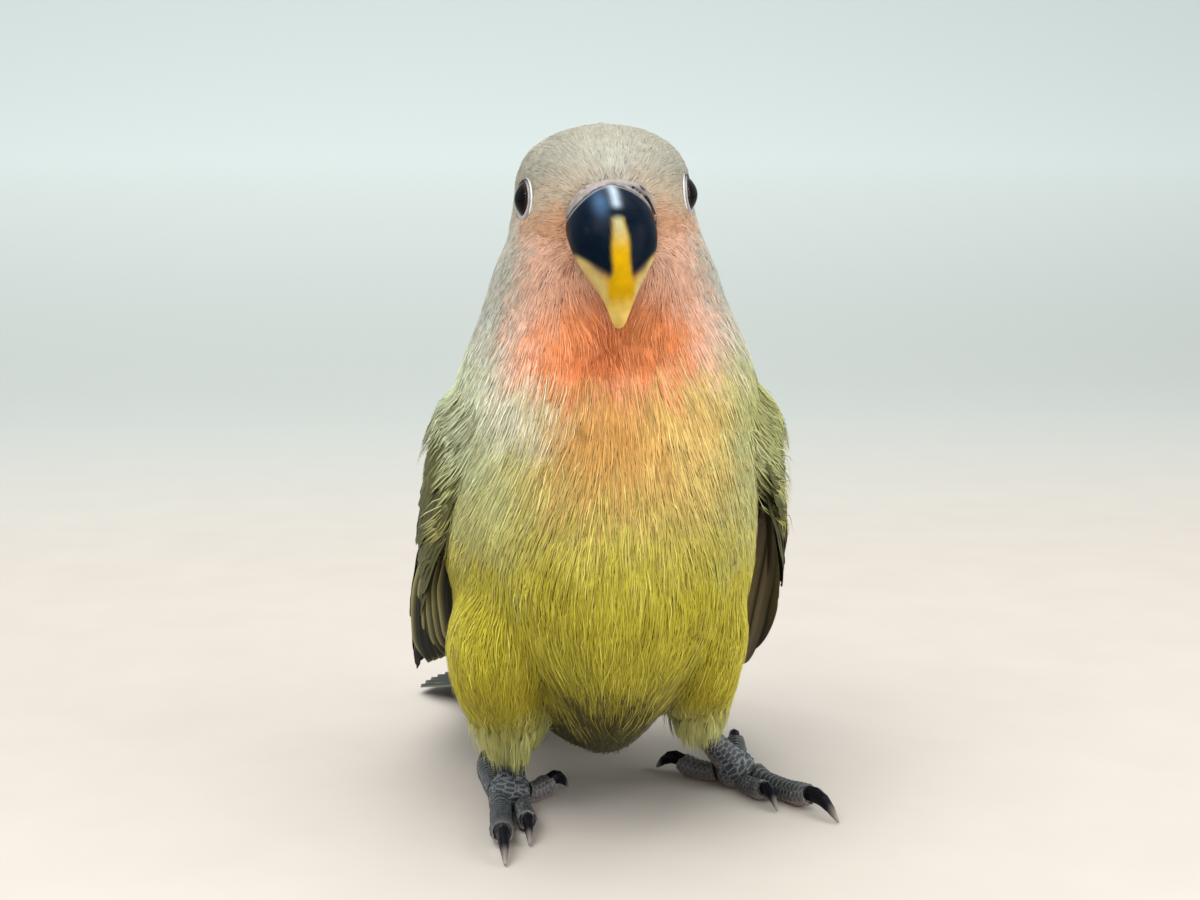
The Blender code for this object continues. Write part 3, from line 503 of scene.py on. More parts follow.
# Plumage colours, linear red, green and blue, by the zones they stand in
plumageColours = {
    "belly": (0.395, 0.34, 0.02), "lowBelly": (0.37, 0.30, 0.003), "ventShade": (0.20, 0.19, 0.02),
    "breast": (0.365, 0.298, 0.085), "breastSide": (0.36, 0.365, 0.15), "shoulder": (0.37, 0.41, 0.25),
    "shoulderLeft": (0.30, 0.305, 0.10), "peach": (0.395, 0.178, 0.036), "yellowPatch": (0.50, 0.33, 0.095),
    "palePatch": (0.43, 0.405, 0.305), "bib": (0.54, 0.165, 0.05), "cheek": (0.585, 0.335, 0.23),
    "throatOrangeAndShade": (0.25, 0.042, 0.004), "lore": (0.40, 0.21, 0.115), "brow": (0.365, 0.285, 0.20),
    "crown": (0.245, 0.233, 0.183), "forehead": (0.285, 0.275, 0.225), "nape": (0.32, 0.325, 0.27),
    "mantle": (0.16, 0.185, 0.04), "rump": (0.11, 0.21, 0.28), "tailBase": (0.12, 0.155, 0.04),
    "ankle": (0.50, 0.52, 0.20), "wing": (0.085, 0.088, 0.026), "wingEdge": (0.085, 0.080, 0.020),
    "shade": (0.020, 0.018, 0.003),
}


# Where each zone of the plumage begins and where it is full, in mm out, up or back
plumageEdges = {
    "breastUp": (33, 50), "lowBellyDown": (26, 15), "ventBack": (0, 16),
    "ventDown": (14, 8), "sideOut": (9, 17), "sideUp": (34, 46), "shoulderOut": (11, 17.5),
    "shoulderUp": (44, 55), "frontAhead": (-2, -12), "bandUp": (41, 53),
    "peachOut": (4, 11), "paleUp": (49, 55), "bibTurnDown": (66, 56),
    "bibNarrowUp": (64, 76), "bibUp": (57.6, 60.4), "bibAhead": (1, -8), "napeUp": (57, 66),
    "coreNarrowUp": (64, 69), "coreDown": (73, 66), "throatAhead": (-10, -13.5),
    "besideUp": (64.5, 67), "besideEnd": (74, 76.5), "besideAhead": (-8, -12),
    "crownUp": (78.5, 84), "billOut": (6, 9), "loreUp": (75.5, 78.5), "loreAhead": (-6, -11),
    "browUp": (77, 80.5), "browAhead": (-5, -9), "hindUp": (66, 74), "hindBack": (-4, 3),
    "foreheadUp": (81.5, 84.5), "foreheadAhead": (-10, -15), "mantleBack": (1, 9),
    "mantleDown": (68, 57), "mantleUp": (9, 15), "rumpBack": (29, 34), "rumpUp": (13, 19),
    "tailBack": (43, 47), "betweenDown": (24, 17.5), "betweenOut": (6, 9),
    "betweenBack": (6, 14), "creaseDown": (27, 21), "creaseBack": (-3, 4),
    "ankleDown": (17.5, 10.5), "ankleOut": (6, 9), "ankleBack": (14, 18),
    "wingEdgeOut": (-0.5, 0.5), "wingEdgeDown": (59.5, 58),
}
# Soft spots: their middle and their reach, in mm
plumageSpots = {
    "yellowPatch": (7.5, 5), "palePatch": (-13.5, 5), "throatFold": (0, 1), "throatOrangeAndShade": (64, 4.4),
    "bibHem": (62, 2), "beside": (0, 0.75), "forehead": (0, 3.4), "crease": (7.2, 1.6),
}
# How fully some of the zones cover what lies under them
plumageShares = {
    "peach": 0.9, "yellowPatch": 0.95, "palePatch": 0.9, "bibHem": 0.16, "beside": 0.42, "between": 0.93,
    "crease": 0.6, "ankle": 0.8,
}
# The shapes of the bib, its orange core, the painted shade in the throat's fold and beside the bill, and
# the wings' dark edges
bibForm = {
    "turn": 1, "width": 12, "narrower": 2.5, "soft": (-2, 3), "tilt": 0.17, "tiltReach": 10,
    "core": (4.5, 9.5), "coreWider": 2.4, "foldAt": 1.3, "foldWidth": 1.1, "foldWider": 0.30,
    "foldTop": 66.5, "foldHeight": 6, "besideAt": 0.9, "besideIn": 1, "besideSlope": 0.47,
    "besideFoot": 66.3,
}
wingEdgeForm = {"at": 20.3, "slope": 0.14, "top": 54, "limits": (20, 22.2), "leftFurther": 0.6}
backSlope = {"height": 58, "share": 0.55}  # the line from the neck down the sides where the back begins


def blended(colour, name, share):
    return colour + (np.array(plumageColours[name]) - colour) * share[:, None]


def within(value, name):
    return smoothStep(value, *plumageEdges[name])


def spot(value, name):
    return bump(value, *plumageSpots[name])


def backLine(z):
    return (backSlope["height"] - z) * backSlope["share"]


# The coat's colour at points, each zone laid over the earlier ones. Ragged moves their edges
def plumage(points, ragged=None):
    p = np.array(points, float)
    if ragged is not None:
        p = p + ragged
    x, y, z = p.T
    side, shares, bibs = np.abs(x), plumageShares, bibForm
    shoulder = within(side, "shoulderOut") * within(z, "shoulderUp")
    front = within(y, "frontAhead")
    band = within(z, "bandUp") * front
    middle = x + bibs["turn"] * within(z, "bibTurnDown")
    bibWidth = bibs["width"] - bibs["narrower"] * within(z, "bibNarrowUp")
    bib = within(z - bibs["tilt"] * np.clip(x, 0, bibs["tiltReach"]), "bibUp") * within(y, "bibAhead")
    inside = 1 - smoothStep(np.abs(middle), bibWidth + bibs["soft"][0], bibWidth + bibs["soft"][1])
    wider = bibs["coreWider"] * (1 - within(z, "coreNarrowUp"))
    core = 1 - smoothStep(np.abs(middle), bibs["core"][0] + wider, bibs["core"][1] + wider)
    fold = bibs["foldWidth"] + bibs["foldWider"] * np.clip(bibs["foldTop"] - z, 0.0, bibs["foldHeight"])
    folded = spot((middle + bibs["foldAt"]) / fold, "throatFold") * spot(z, "throatOrangeAndShade")
    beside = np.abs(x + bibs["besideAt"]) - bibs["besideIn"]
    beside = beside - bibs["besideSlope"] * (z - bibs["besideFoot"])
    shaded = spot(beside, "beside") * within(z, "besideUp") * (1 - within(z, "besideEnd"))
    crown = within(z + 0.35 * (y + 8.0), "crownUp")  # its edge falls towards the back
    nearBill = 1 - within(side, "billOut")
    between = within(z, "betweenDown") * (1 - within(side, "betweenOut")) * (1 - within(y, "betweenBack"))
    crease = spot(side, "crease") * within(z, "creaseDown") * (1 - within(y, "creaseBack"))
    ankle = within(z, "ankleDown") * within(side, "ankleOut") * (1 - within(y, "ankleBack"))
    wing = wingEdgeForm
    edgeAt = np.clip(wing["at"] + wing["slope"] * (wing["top"] - z), *wing["limits"])
    edgeAt = edgeAt + wing["leftFurther"] * (x > 0)
    zones = [
        ("breast", within(z, "breastUp")),
        ("lowBelly", within(z, "lowBellyDown")),
        # painted shade: the rear of the belly's underside darker olive
        ("ventShade", within(y, "ventBack") * within(z, "ventDown")),
        ("breastSide", within(side, "sideOut") * within(z, "sideUp")),
        ("shoulder", shoulder),
        ("shoulderLeft", shoulder * (x > 0)),
        # front of the breast, under the bib
        ("peach", band * (1 - within(np.abs(x + 1.5), "peachOut")) * shares["peach"]),
        ("yellowPatch", band * spot(x, "yellowPatch") * shares["yellowPatch"]),
        ("palePatch", within(z, "paleUp") * front * spot(x, "palePatch") * shares["palePatch"]),
        # bib and cheeks
        ("nape", within(z, "napeUp")),
        ("cheek", bib * inside),
        ("bib", bib * core * within(z, "coreDown")),
        # painted shade: darker orange in the fold under the bill and in a V beside the bill's lower edges;
        # the bib's hem takes a little of the same colour
        ("throatOrangeAndShade", folded * within(y, "throatAhead")),
        ("throatOrangeAndShade", bib * core * spot(z, "bibHem") * shares["bibHem"]),
        ("throatOrangeAndShade", shaded * within(y, "besideAhead") * shares["beside"]),
        # crown, forehead and lores
        ("lore", within(z + 1.2 * nearBill, "loreUp") * within(y, "loreAhead")),
        ("brow", within(z - 1.4 * nearBill, "browUp") * within(y, "browAhead")),
        ("crown", np.maximum(crown, within(z, "hindUp") * within(y, "hindBack"))),
        ("forehead", spot(x, "forehead") * within(z, "foreheadUp") * within(y, "foreheadAhead")),
        # back, rump and tail base
        ("mantle", within(y - backLine(z), "mantleBack") * within(z, "mantleDown") * within(z, "mantleUp")),
        ("rump", within(y, "rumpBack") * within(z, "rumpUp")),
        ("tailBase", within(y, "tailBack")),
        # painted shade between the thighs and in the creases beside them, the ankles, and the dark leading
        # edge of the folded wings
        ("shade", np.maximum(between * shares["between"], crease * shares["crease"])),
        ("ankle", ankle * shares["ankle"]),
        ("wingEdge", within(side - edgeAt, "wingEdgeOut") * within(z, "wingEdgeDown")),
    ]
    colour = np.outer(np.ones(len(p)), plumageColours["belly"])
    for name, share in zones:
        colour = blended(colour, name, share)
    return np.clip(colour, 0.002, 1.0)


# (middle of the eye's opening, outward direction) on the body's surface
def eyePlace(tree, sign):
    y, z = eyeForm["place"]
    hit = tree.ray_cast(Vector((80.0, y, z)), Vector((-1.0, 0, 0)))[0]
    forward = eyeForm["forward"]
    outward = Vector((sign * math.cos(forward), -math.sin(forward), eyeForm["rise"])).normalized()
    return Vector((sign * (hit.x - eyeForm["sink"]), y, z)), outward


eyeForm = {
    "place": (-8.2, 81.2), "radius": 3.0, "opening": 2.35, "forward": math.radians(15.0), "rise": 0.06,
    "sink": 0.5, "pupil": 0.62, "bare": 0.02, "hollow": 0.35, "hollowReach": 3.2, "bulge": 0.22,
    "irisColour": (0.020, 0.012, 0.008), "pupilColour": (0.0015, 0.0015, 0.002),
    "white": (0.30, 0.27, 0.25),
}
# Each lid: how far outside the opening and how thick it is, its lift, and its upper and lower colours
lidForms = {
    "innerLid": {
        "out": -0.10, "thick": 0.17, "lift": 0.26, "upper": (0.012, 0.011, 0.013),
        "lower": (0.34, 0.33, 0.34),
    },
    "outerLid": {
        "out": 0.16, "thick": 0.15, "lift": 0.02, "upper": (0.22, 0.19, 0.16), "lower": (0.74, 0.73, 0.71),
    },
}
lidBulk = {"below": 0.9, "ahead": 0.1, "scales": 37, "relief": 0.05, "flat": 0.8, "aheadPale": 0.45}


# Bill sections from base to tip: ridge y, ridge z, edge y, edge z, half width
billForm = {
    "upper": [
        (-11.5, 82.4, -8.6, 73.4, 4.2), (-15, 82.9, -11.6, 73, 4.7), (-18.2, 82.4, -14.4, 72.9, 4.95),
        (-20.8, 80.8, -16.2, 72.4, 4.95), (-22.7, 78.2, -17.4, 71.6, 4.5), (-23.7, 75, -18.2, 70.5, 3.4),
        (-23.8, 72, -18.9, 69.3, 2.25), (-23, 69.3, -19.4, 68.2, 1.45), (-21.9, 67.3, -19.9, 67.2, 0.9),
        (-20.8, 66.3, -20.3, 66.4, 0.5),
    ],
    "lower": [
        (-9.6, 72.4, -8.6, 67.2, 2.7), (-12.3, 72.2, -11.1, 66.7, 2.7), (-14.2, 71.4, -13.2, 66.5, 2.3),
        (-15.4, 70.4, -14.7, 66.8, 1.7), (-16.1, 69.5, -15.7, 67.5, 1.15), (-16.4, 68.9, -16.2, 68.1, 0.7),
    ],
    "sides": 96, "steps": 14, "tipDrop": 0.25, "turn": math.radians(4), "turnedAt": (0, -22),
    "wider": 1.04,
}


def billLoft(name):
    rows = billForm[name]
    rings = sectionRings(denseRows(rows, billForm["steps"]), billForm["sides"])
    first, last = rows[0], rows[-1]
    start = (0, (first[0] + first[2]) / 2 + 0.4, (first[1] + first[3]) / 2)
    end = (0, (last[0] + last[2]) / 2, min(last[1], last[3]) - billForm["tipDrop"])
    piece = loftPiece(name + "Bill", rings, start, end)
    if name == "lower":
        return piece
    points = pointsOf(piece) * (billForm["wider"], 1, 1)
    x, y = points[:, 0] - billForm["turnedAt"][0], points[:, 1] - billForm["turnedAt"][1]
    points[:, 0] -= y * math.sin(billForm["turn"])
    points[:, 1] += x * math.sin(billForm["turn"])
    movePoints(piece, points)
    return piece


def treeOf(piece):
    polygons = [tuple(p.vertices) for p in piece.data.polygons]
    return BVHTree.FromPolygons([tuple(v.co) for v in piece.data.vertices], polygons)


# How deep a point lies inside a closed form, below 0 outside it
def insideDepth(tree, point):
    place, normal, _, distance = tree.find_nearest(point)
    return distance if (point - place).dot(normal) < 0 else -distance


# Wings: the same shell as the solids have, with more and finer feathers on it
wingForm = {
    "lower": [
        (17.2, -9.5, 52), (20.2, -6.6, 43), (23.1, 0.5, 32), (24.6, 16, 20.3), (22.9, 40, 10.2),
    ],
    "middle": [
        (19.2, -3, 56), (21.4, 5, 47), (22.3, 14.5, 38), (22.2, 28, 27), (19.4, 44.5, 13.5),
    ],
    "upper": [
        (13.4, 4.5, 60), (13.4, 17, 54.5), (12.4, 29, 45.5), (11.6, 39, 34.5), (12.6, 47.5, 22),
    ],
    "shoulder": {"from": 0.02, "to": 0.40, "thickness": 3.6, "low": 0.04, "rings": 14, "sides": 24},
    "bed": {"from": 0.26, "to": 0.78, "thickness": 0.5, "low": 0.12, "rings": 26, "sides": 32, "sink": 1.1},
    "cover": {"from": 0.02, "to": 1, "thickness": 3, "low": 0, "rings": 30, "sides": 32},
    # How much of the undersides' colour each wing keeps, the right ones darkened as painted shade, and the
    # colour of the bed, a dark sheet that stands for the shade inside each folded wing
    "rootSink": 0.6, "seed": 7, "underShadeShare": {"right": 0.16, "left": 1.0},
    "bedShade": {"right": (0.020, 0.018, 0.013), "left": (0.10, 0.08, 0.055)},
}

# Feather tiers of a wing: roots and tips on the shell (along, across), widths, lift and tilt
wingTiers = {
    "Primaries": {
        "count": 11, "roots": ((0.32, 0.08), (0.44, 0.42)), "tips": ((0.97, 0.08), (0.96, 0.60)),
        "width": (4.2, 6), "lift": (0.1, -0.3), "tilt": -11, "uneven": 0.34, "point": 0.80,
        "web": (0.050, 0.046, 0.016), "edge": (0.17, 0.155, 0.055), "edgeWidth": 0.22,
        "under": (0.20, 0.165, 0.12), "rim": 1.3, "rows": 40, "notches": 1,
    },
    "Secondaries": {
        "count": 10, "roots": ((0.32, 0.30), (0.32, 0.86)), "tips": ((0.78, 0.30), (0.92, 0.82)),
        "width": (6.2, 7.2), "lift": (0.1, 0.5), "tilt": -10, "uneven": 0.24, "point": 0.78,
        "web": (0.042, 0.043, 0.018), "edge": (0.115, 0.115, 0.034), "edgeWidth": 0.42,
        "under": (0.11, 0.10, 0.075), "rows": 34, "notches": 1,
    },
    "PrimaryCoverts": {
        "count": 7, "roots": ((0.18, 0.03), (0.22, 0.18)), "tips": ((0.54, 0.03), (0.46, 0.26)),
        "width": (4, 4.6), "lift": (0.45, 0.5), "tilt": -12, "uneven": 0.2, "point": 0.68,
        "web": (0.055, 0.052, 0.012), "edge": (0.145, 0.135, 0.030), "edgeWidth": 0.4,
        "under": (0.11, 0.10, 0.075), "rows": 24, "notches": 1,
    },
    "GreaterCoverts": {
        "count": 14, "roots": ((0.18, 0.20), (0.16, 0.88)), "tips": ((0.46, 0.22), (0.54, 0.96)),
        "width": (4.2, 5.2), "lift": (0.8, 1.1), "tilt": -9, "uneven": 0.12, "point": 0.64,
        "web": (0.052, 0.050, 0.012), "edge": (0.100, 0.098, 0.025), "rows": 24,
    },
    "MedianCoverts": {
        "count": 16, "roots": ((0.14, 0.03), (0.10, 0.92)), "tips": ((0.33, 0.02), (0.37, 0.97)),
        "width": (3.2, 4.2), "lift": (1.2, 1.45), "tilt": -7, "uneven": 0.06, "point": 0.56,
        "web": (0.062, 0.061, 0.014), "edge": (0.112, 0.110, 0.028), "rows": 20, "notches": 4,
    },
    "LesserCoverts": {
        "count": 16, "roots": ((0.09, 0.05), (0.03, 0.90)), "tips": ((0.21, 0.03), (0.23, 0.97)),
        "width": (3, 3.8), "lift": (1.5, 1.8), "tilt": -6, "point": 0.5,
        "web": (0.074, 0.074, 0.018), "edge": (0.125, 0.125, 0.033), "rows": 18, "notches": 4,
    },
}
vaneForm = {
    "across": (-1, -0.86, -0.62, -0.34, -0.1, -0.04, 0.04, 0.1, 0.34, 0.62, 0.86, 1),
    "thickness": 0.14, "camber": 0.07, "shaftHeight": 0.13, "shaftReach": 0.16, "crowding": 1.3,
    "baseWidth": 0.42, "opening": 2.4, "rounding": 2.2, "splitDepth": (0.05, 0.22), "splitAt": (0.35, 0.98),
    "splitReach": (0.008, 0.02), "ripple": 0.05, "ripples": (14, 22), "tone": 0.07, "tipFringe": 0.93,
    "shaftDark": 0.22, "underDark": 0.65, "underReach": 0.25,
}
# What a blade looks like where its own tier doesn't say
plainLook = {
    "edgeWidth": 0.5, "under": (0.10, 0.09, 0.06), "rim": 0.45, "shaft": 0.5, "uneven": 0, "notches": 2,
}


# Points of the left wing's middle surface: s from shoulder to tip, t from lower to upper edge
def shellPoint(s, t):
    s, t = np.atleast_1d(s), np.atleast_1d(t)[:, None]
    low, middle, high = (rowsAt(wingForm[key], s) for key in ("lower", "middle", "upper"))
    return low + (high - low) * t + (middle - (low + high) / 2) * (4 * t * (1 - t))


def shellNormal(s, t):
    step = 0.02
    s, t = np.atleast_1d(s), np.atleast_1d(t)
    along = shellPoint(np.minimum(s + step, 1), t) - shellPoint(np.maximum(s - step, 0), t)
    across = shellPoint(s, np.minimum(t + step, 1)) - shellPoint(s, np.maximum(t - step, 0))
    normal = unit(np.cross(across, along))
    return np.where(normal[:, :1] > 0, normal, -normal)


# Points, quads, colours and barb places of one closed feather blade
def vane(path, normals, places, width, tilt, look, random):
    form, look = vaneForm, plainLook | look
    rows, across = len(path), np.array(form["across"])
    tangent = unit(np.gradient(path, axis=0))
    side = unit(np.cross(normals, tangent))
    side = side * math.cos(tilt) + np.cross(tangent, side) * math.sin(tilt)
    up = np.cross(tangent, side)
    pastPoint = np.maximum(places - look["point"], 0) / (1.004 - look["point"])
    rounding = np.sqrt(np.clip(1 - pastPoint ** form["rounding"], 0, 1))
    half = width / 2 * np.minimum(1.0, form["baseWidth"] + form["opening"] * places) * rounding
    left, right = half * (1 + look["uneven"]), half * (1 - look["uneven"])
    for _ in range(look["notches"]):
        depth, at, reach = (random.uniform(*form[key]) for key in ("splitDepth", "splitAt", "splitReach"))
        split = 1 - depth * bump(places, at, reach)
        if random.random() < 0.5:
            left = left * split
        else:
            right = right * split
    reach = np.where(across[None] < 0, left[:, None], right[:, None]) * across[None]
    waves = np.sin(places * random.uniform(*form["ripples"]) + random.uniform(0, 6))[:, None]
    arch = -form["camber"] * width * across[None] ** 2 + form["ripple"] * waves * across[None] ** 2
    shaft = form["shaftHeight"] * np.exp(-((reach / form["shaftReach"]) ** 2)) * (1 - 0.7 * places)[:, None]
    middle = path[:, None] + side[:, None] * reach[..., None] + up[:, None] * arch[..., None]
    thick = form["thickness"] * (1 - 0.75 * np.abs(across[None]) ** 3) * (1 - 0.4 * places)[:, None] / 2
    top = middle + up[:, None] * (thick + shaft)[..., None]
    under = middle - up[:, None] * (thick + shaft * 0.6)[..., None]
    # faces: the top, the underside and the four borders between them
    count = len(across)
    quads, below = gridFaces(rows, count, wrap=False), rows * count
    start, column = np.arange(rows - 1) * count, np.arange(count - 1)
    last = (rows - 1) * count + column
    borders = (
        (start + count, start), (start + count - 1, start + 2 * count - 1),
        (column, column + 1), (last + 1, last),
    )
    rims = [np.stack([a, b, b + below, a + below], 1) for a, b in borders]
    # paint: darker at the shaft, with a fringe and a pale rim
    tone = random.normal(1.0, form["tone"])
    web, edge = np.array(look["web"]), np.array(look["edge"])
    fringe = smoothStep(across, 1 - 2 * look["edgeWidth"], 1 - look["edgeWidth"] * 0.6)
    fringe = np.maximum(fringe[None], smoothStep(places, form["tipFringe"], 1.0)[:, None] * 0.8)
    pale = smoothStep(np.abs(across), 0.86, 1.0)[None] * look["rim"]
    paint = (web + (edge - web) * fringe[..., None]) * (1 + pale[..., None]) * tone
    shaftShade = np.exp(-((reach / form["shaftDark"]) ** 2))
    paint = paint * (1 - look["shaft"] * shaftShade)[..., None]
    underShade = np.exp(-((reach / form["underReach"]) ** 2))
    underPaint = np.array(look["under"]) * tone * (1 - form["underDark"] * underShade)[..., None]
    length = np.concatenate([[0], np.cumsum(np.linalg.norm(np.diff(path, axis=0), axis=1))])
    uv = np.stack([reach, np.broadcast_to(length[:, None], reach.shape)], axis=-1).reshape(-1, 2)
    points = np.vstack([top.reshape(-1, 3), under.reshape(-1, 3)])
    colours = np.vstack([paint.reshape(-1, 3), np.broadcast_to(underPaint, paint.shape).reshape(-1, 3)])
    return points, np.vstack([quads, quads[:, ::-1] + below, *rims]), colours, np.vstack([uv, uv])


# Many blades' arrays as one set of arrays
def gathered(blades):
    points, faces, colours, uv = zip(*blades)
    starts = np.cumsum([0] + [len(p) for p in points[:-1]])
    faces = [f + start for f, start in zip(faces, starts)]
    return np.vstack(points), np.vstack(faces), np.vstack(colours), np.vstack(uv)


def vanePiece(name, blades, material, replaced=(), flip=False):
    points, faces, colours, uv = gathered(blades)
    if flip:
        points = points * (-1, 1, 1)
        faces = faces[:, ::-1]
    points[:, 0] += stance["wingSwing"] * tailLine(points[:, 1]) if "wing" in name else 0.0
    piece = meshPiece(name, toFrame(points), faces)
    addColour(piece, "plumage", colours)
    addUv(piece, "barbs", uv)
    piece.data.shade_smooth()
    settle(piece, material, replaced)


def partWay(first, last, share):
    return np.array(first) + (np.array(last) - first) * share


def featherPlaces(rows):
    return 1 - (1 - np.linspace(0, 1, rows)) ** vaneForm["crowding"]


def makeWings(material):
    for side, sign in sides.items():
        random = np.random.default_rng(wingForm["seed"] + (sign > 0))
        title = side.capitalize()
        for tierName, tier in wingTiers.items():
            blades = []
            tier = plainLook | tier
            # painted shade: the right wing's undersides are darkened
            tier["under"] = tuple(np.array(tier["under"]) * wingForm["underShadeShare"][side])
            places = featherPlaces(tier["rows"])
            for i in range(tier["count"]):
                share = i / (tier["count"] - 1)
                root, tip = (partWay(*tier[key], share) for key in ("roots", "tips"))
                root = root + random.normal(0, 0.004, 2)
                tip = tip + random.normal(0, 0.010, 2)
                width = np.interp(share, (0, 1), tier["width"]) * random.uniform(0.96, 1.06)
                lift = np.interp(share, (0, 1), tier["lift"]) + random.normal(0, 0.05)
                s = root[0] + (tip[0] - root[0]) * places
                t = root[1] + (tip[1] - root[1]) * places**0.8
                normals = shellNormal(s, t)
                path = shellPoint(s, t) + normals * (lift - wingForm["rootSink"] * (1 - places))[:, None]
                tilt = math.radians(tier["tilt"] + random.normal(0, 1.2))
                blades.append(vane(path, normals, places, width, tilt, tier, random))
            replaced = (f"wing_{side}",) if tierName == "Primaries" else ()
            vanePiece(f"wing{title}{tierName}", blades, material, replaced, flip=sign < 0)
        # The bed: a dark sheet of painted shade inside the folded wing
        bed = wingLoft("bed", sign)
        bed.name = f"wing{title}Bed"
        addColour(bed, "plumage", np.outer(np.ones(len(bed.data.vertices)), wingForm["bedShade"][side]))
        addUv(bed, "barbs", pointsOf(bed)[:, [1, 2]])
        movePoints(bed, toFrame(pointsOf(bed)))
        bed.data.shade_smooth()
        settle(bed, material)
        print("wing", side)


# Flight feathers seen edge on at the front of each folded wing: centre lines of the outer and inner ones
frontForm = {
    "right": {
        "outer": [(23, 2, 36), (24, 5, 28.5), (24, 8, 23), (23, 11, 18.5)],
        "inner": [(20.5, -1, 35.5), (20.5, 1, 29.5), (20, 3.5, 25), (19, 6.5, 21)],
        "count": 6, "width": 3.1, "faces": ((0.5, -0.85, 0.1), (0.3, -0.95, 0.1)), "seed": 51,
        "web": (0.016, 0.015, 0.009), "edge": (0.21, 0.19, 0.08), "edgeWidth": 0.26,
        "under": (0.03, 0.028, 0.02), "rim": 1, "shaft": 0.3, "point": 0.70, "rows": 30, "notches": 0,
    },
    "left": {
        "outer": [(24.5, 6, 40.5), (24.5, 11, 33), (24.5, 16, 24.5), (24, 23, 17)],
        "inner": [(22.5, 2, 43), (22.5, 6, 34), (22.5, 13, 24), (23, 23, 13.5)],
        "count": 3, "width": 3.5, "faces": ((-0.3, -0.95, 0.1), (-0.5, -0.85, 0.1)), "seed": 52,
        "web": (0.33, 0.27, 0.19), "edge": (0.15, 0.125, 0.085), "edgeWidth": 0.42,
        "under": (0.21, 0.172, 0.125), "rim": 0.2, "shaft": 0.9, "point": 0.66, "rows": 30,
        "notches": 0,
    },
}


def makeFronts(material):
    for side, sign in sides.items():
        form = frontForm[side]
        random = np.random.default_rng(form["seed"])
        places = featherPlaces(form["rows"])
        blades = []
        for i in range(form["count"]):
            share = i / (form["count"] - 1)
            start, end = rowsAt(form["outer"], places), rowsAt(form["inner"], places)
            path = start + (end - start) * share
            facing = np.array(form["faces"]).T @ (1 - share, share)
            tangent = unit(np.gradient(path, axis=0))
            normals = unit(facing - tangent * (tangent @ facing)[:, None])
            width = form["width"] * random.uniform(0.94, 1.06)
            tilt = math.radians(random.normal(0, 2.0))
            blades.append(vane(path, normals, places, width, tilt, form, random))
        vanePiece(f"wing{side.capitalize()}Front", blades, material, flip=sign < 0)
    print("wing fronts")


# Feathers that lie from the back over the upper edge of each wing
drapeForm = {"inner": 5.0, "over": 0.7, "onWing": 0.84, "wingLift": 1.9, "bulge": 1.0, "seed": 31}
drapeTiers = {
    "tertials": {
        "count": 6, "starts": ((0.30, 0.30), (0.34, 0.95)), "ends": ((0.74, 0.40), (0.88, 1)),
        "width": (6.6, 7.4), "lift": 0, "tilt": -9, "uneven": 0.12, "point": 0.74, "rows": 34,
        "web": (0.040, 0.045, 0.018), "edge": (0.10, 0.11, 0.034), "edgeWidth": 0.4,
    },
    "lowScapulars": {
        "count": 7, "starts": ((0.16, 0.08), (0.16, 1)), "ends": ((0.50, 0.12), (0.48, 1)),
        "width": (5.2, 5.8), "lift": 0.45, "tilt": -8, "uneven": 0.06, "point": 0.62, "rows": 26,
        "web": (0.075, 0.085, 0.026), "edge": (0.13, 0.145, 0.042),
    },
    "highScapulars": {
        "count": 8, "starts": ((0.04, 0.12), (0.04, 1)), "ends": ((0.31, 0.10), (0.31, 1)),
        "width": (4.4, 5), "lift": 0.8, "tilt": -7, "uneven": 0, "point": 0.55, "rows": 24,
        "web": (0.095, 0.11, 0.032), "edge": (0.15, 0.17, 0.05),
    },
}


# (points, normals) of the cover from the back, q = 0, to the wing, q = 1, at places s along the wing
def drape(s, q, sign):
    onWing = np.full(len(s), drapeForm["onWing"])
    wing, wingOut = shellPoint(s, onWing), shellNormal(s, onWing)
    wing = wing + wingOut * drapeForm["wingLift"]
    swing = stance["wingSwing"] * tailLine(wing[:, 1])
    wing = wing * (sign, 1, 1) + np.outer(swing, (1, 0, 0))
    wingOut = wingOut * (sign, 1, 1)
    edge = shellPoint(s, np.ones(len(s)))
    guess = np.stack([sign * drapeForm["inner"] + tailLine(edge[:, 1]), edge[:, 1] + 1.0, edge[:, 2]], 1)
    back, backOut = onSkin(guess)
    back = back + backOut * drapeForm["over"]
    share = q[:, None]
    out = unit(backOut * (1 - share) + wingOut * share)
    return back * (1 - share) + wing * share + out * (drapeForm["bulge"] * 4 * share * (1 - share)), out


def makeDrapes(material):
    for side, sign in sides.items():
        random = np.random.default_rng(drapeForm["seed"] + (sign > 0))
        for tierName, tier in drapeTiers.items():
            blades = []
            places = featherPlaces(tier["rows"])
            look = tier | {"uneven": tier["uneven"] * sign}
            for i in range(tier["count"]):
                share = i / (tier["count"] - 1)
                start, end = (partWay(*tier[key], share) for key in ("starts", "ends"))
                end = end + random.normal(0, 0.012, 2)
                s = start[0] + (end[0] - start[0]) * places
                path, normals = drape(s, np.clip(start[1] + (end[1] - start[1]) * places, 0, 1.05), sign)
                lift = tier["lift"] - 0.7 * (1 - places) ** 2 + random.normal(0, 0.05)
                width = np.interp(share, (0, 1), tier["width"]) * random.uniform(0.95, 1.06)
                tilt = sign * math.radians(tier["tilt"] + random.normal(0, 1.2))
                path = path + normals * lift[:, None]
                blades.append(vane(path, normals, places, width, tilt, look, random))
            vanePiece(tierName + side.capitalize(), blades, material)
    print("feathers over the wings")


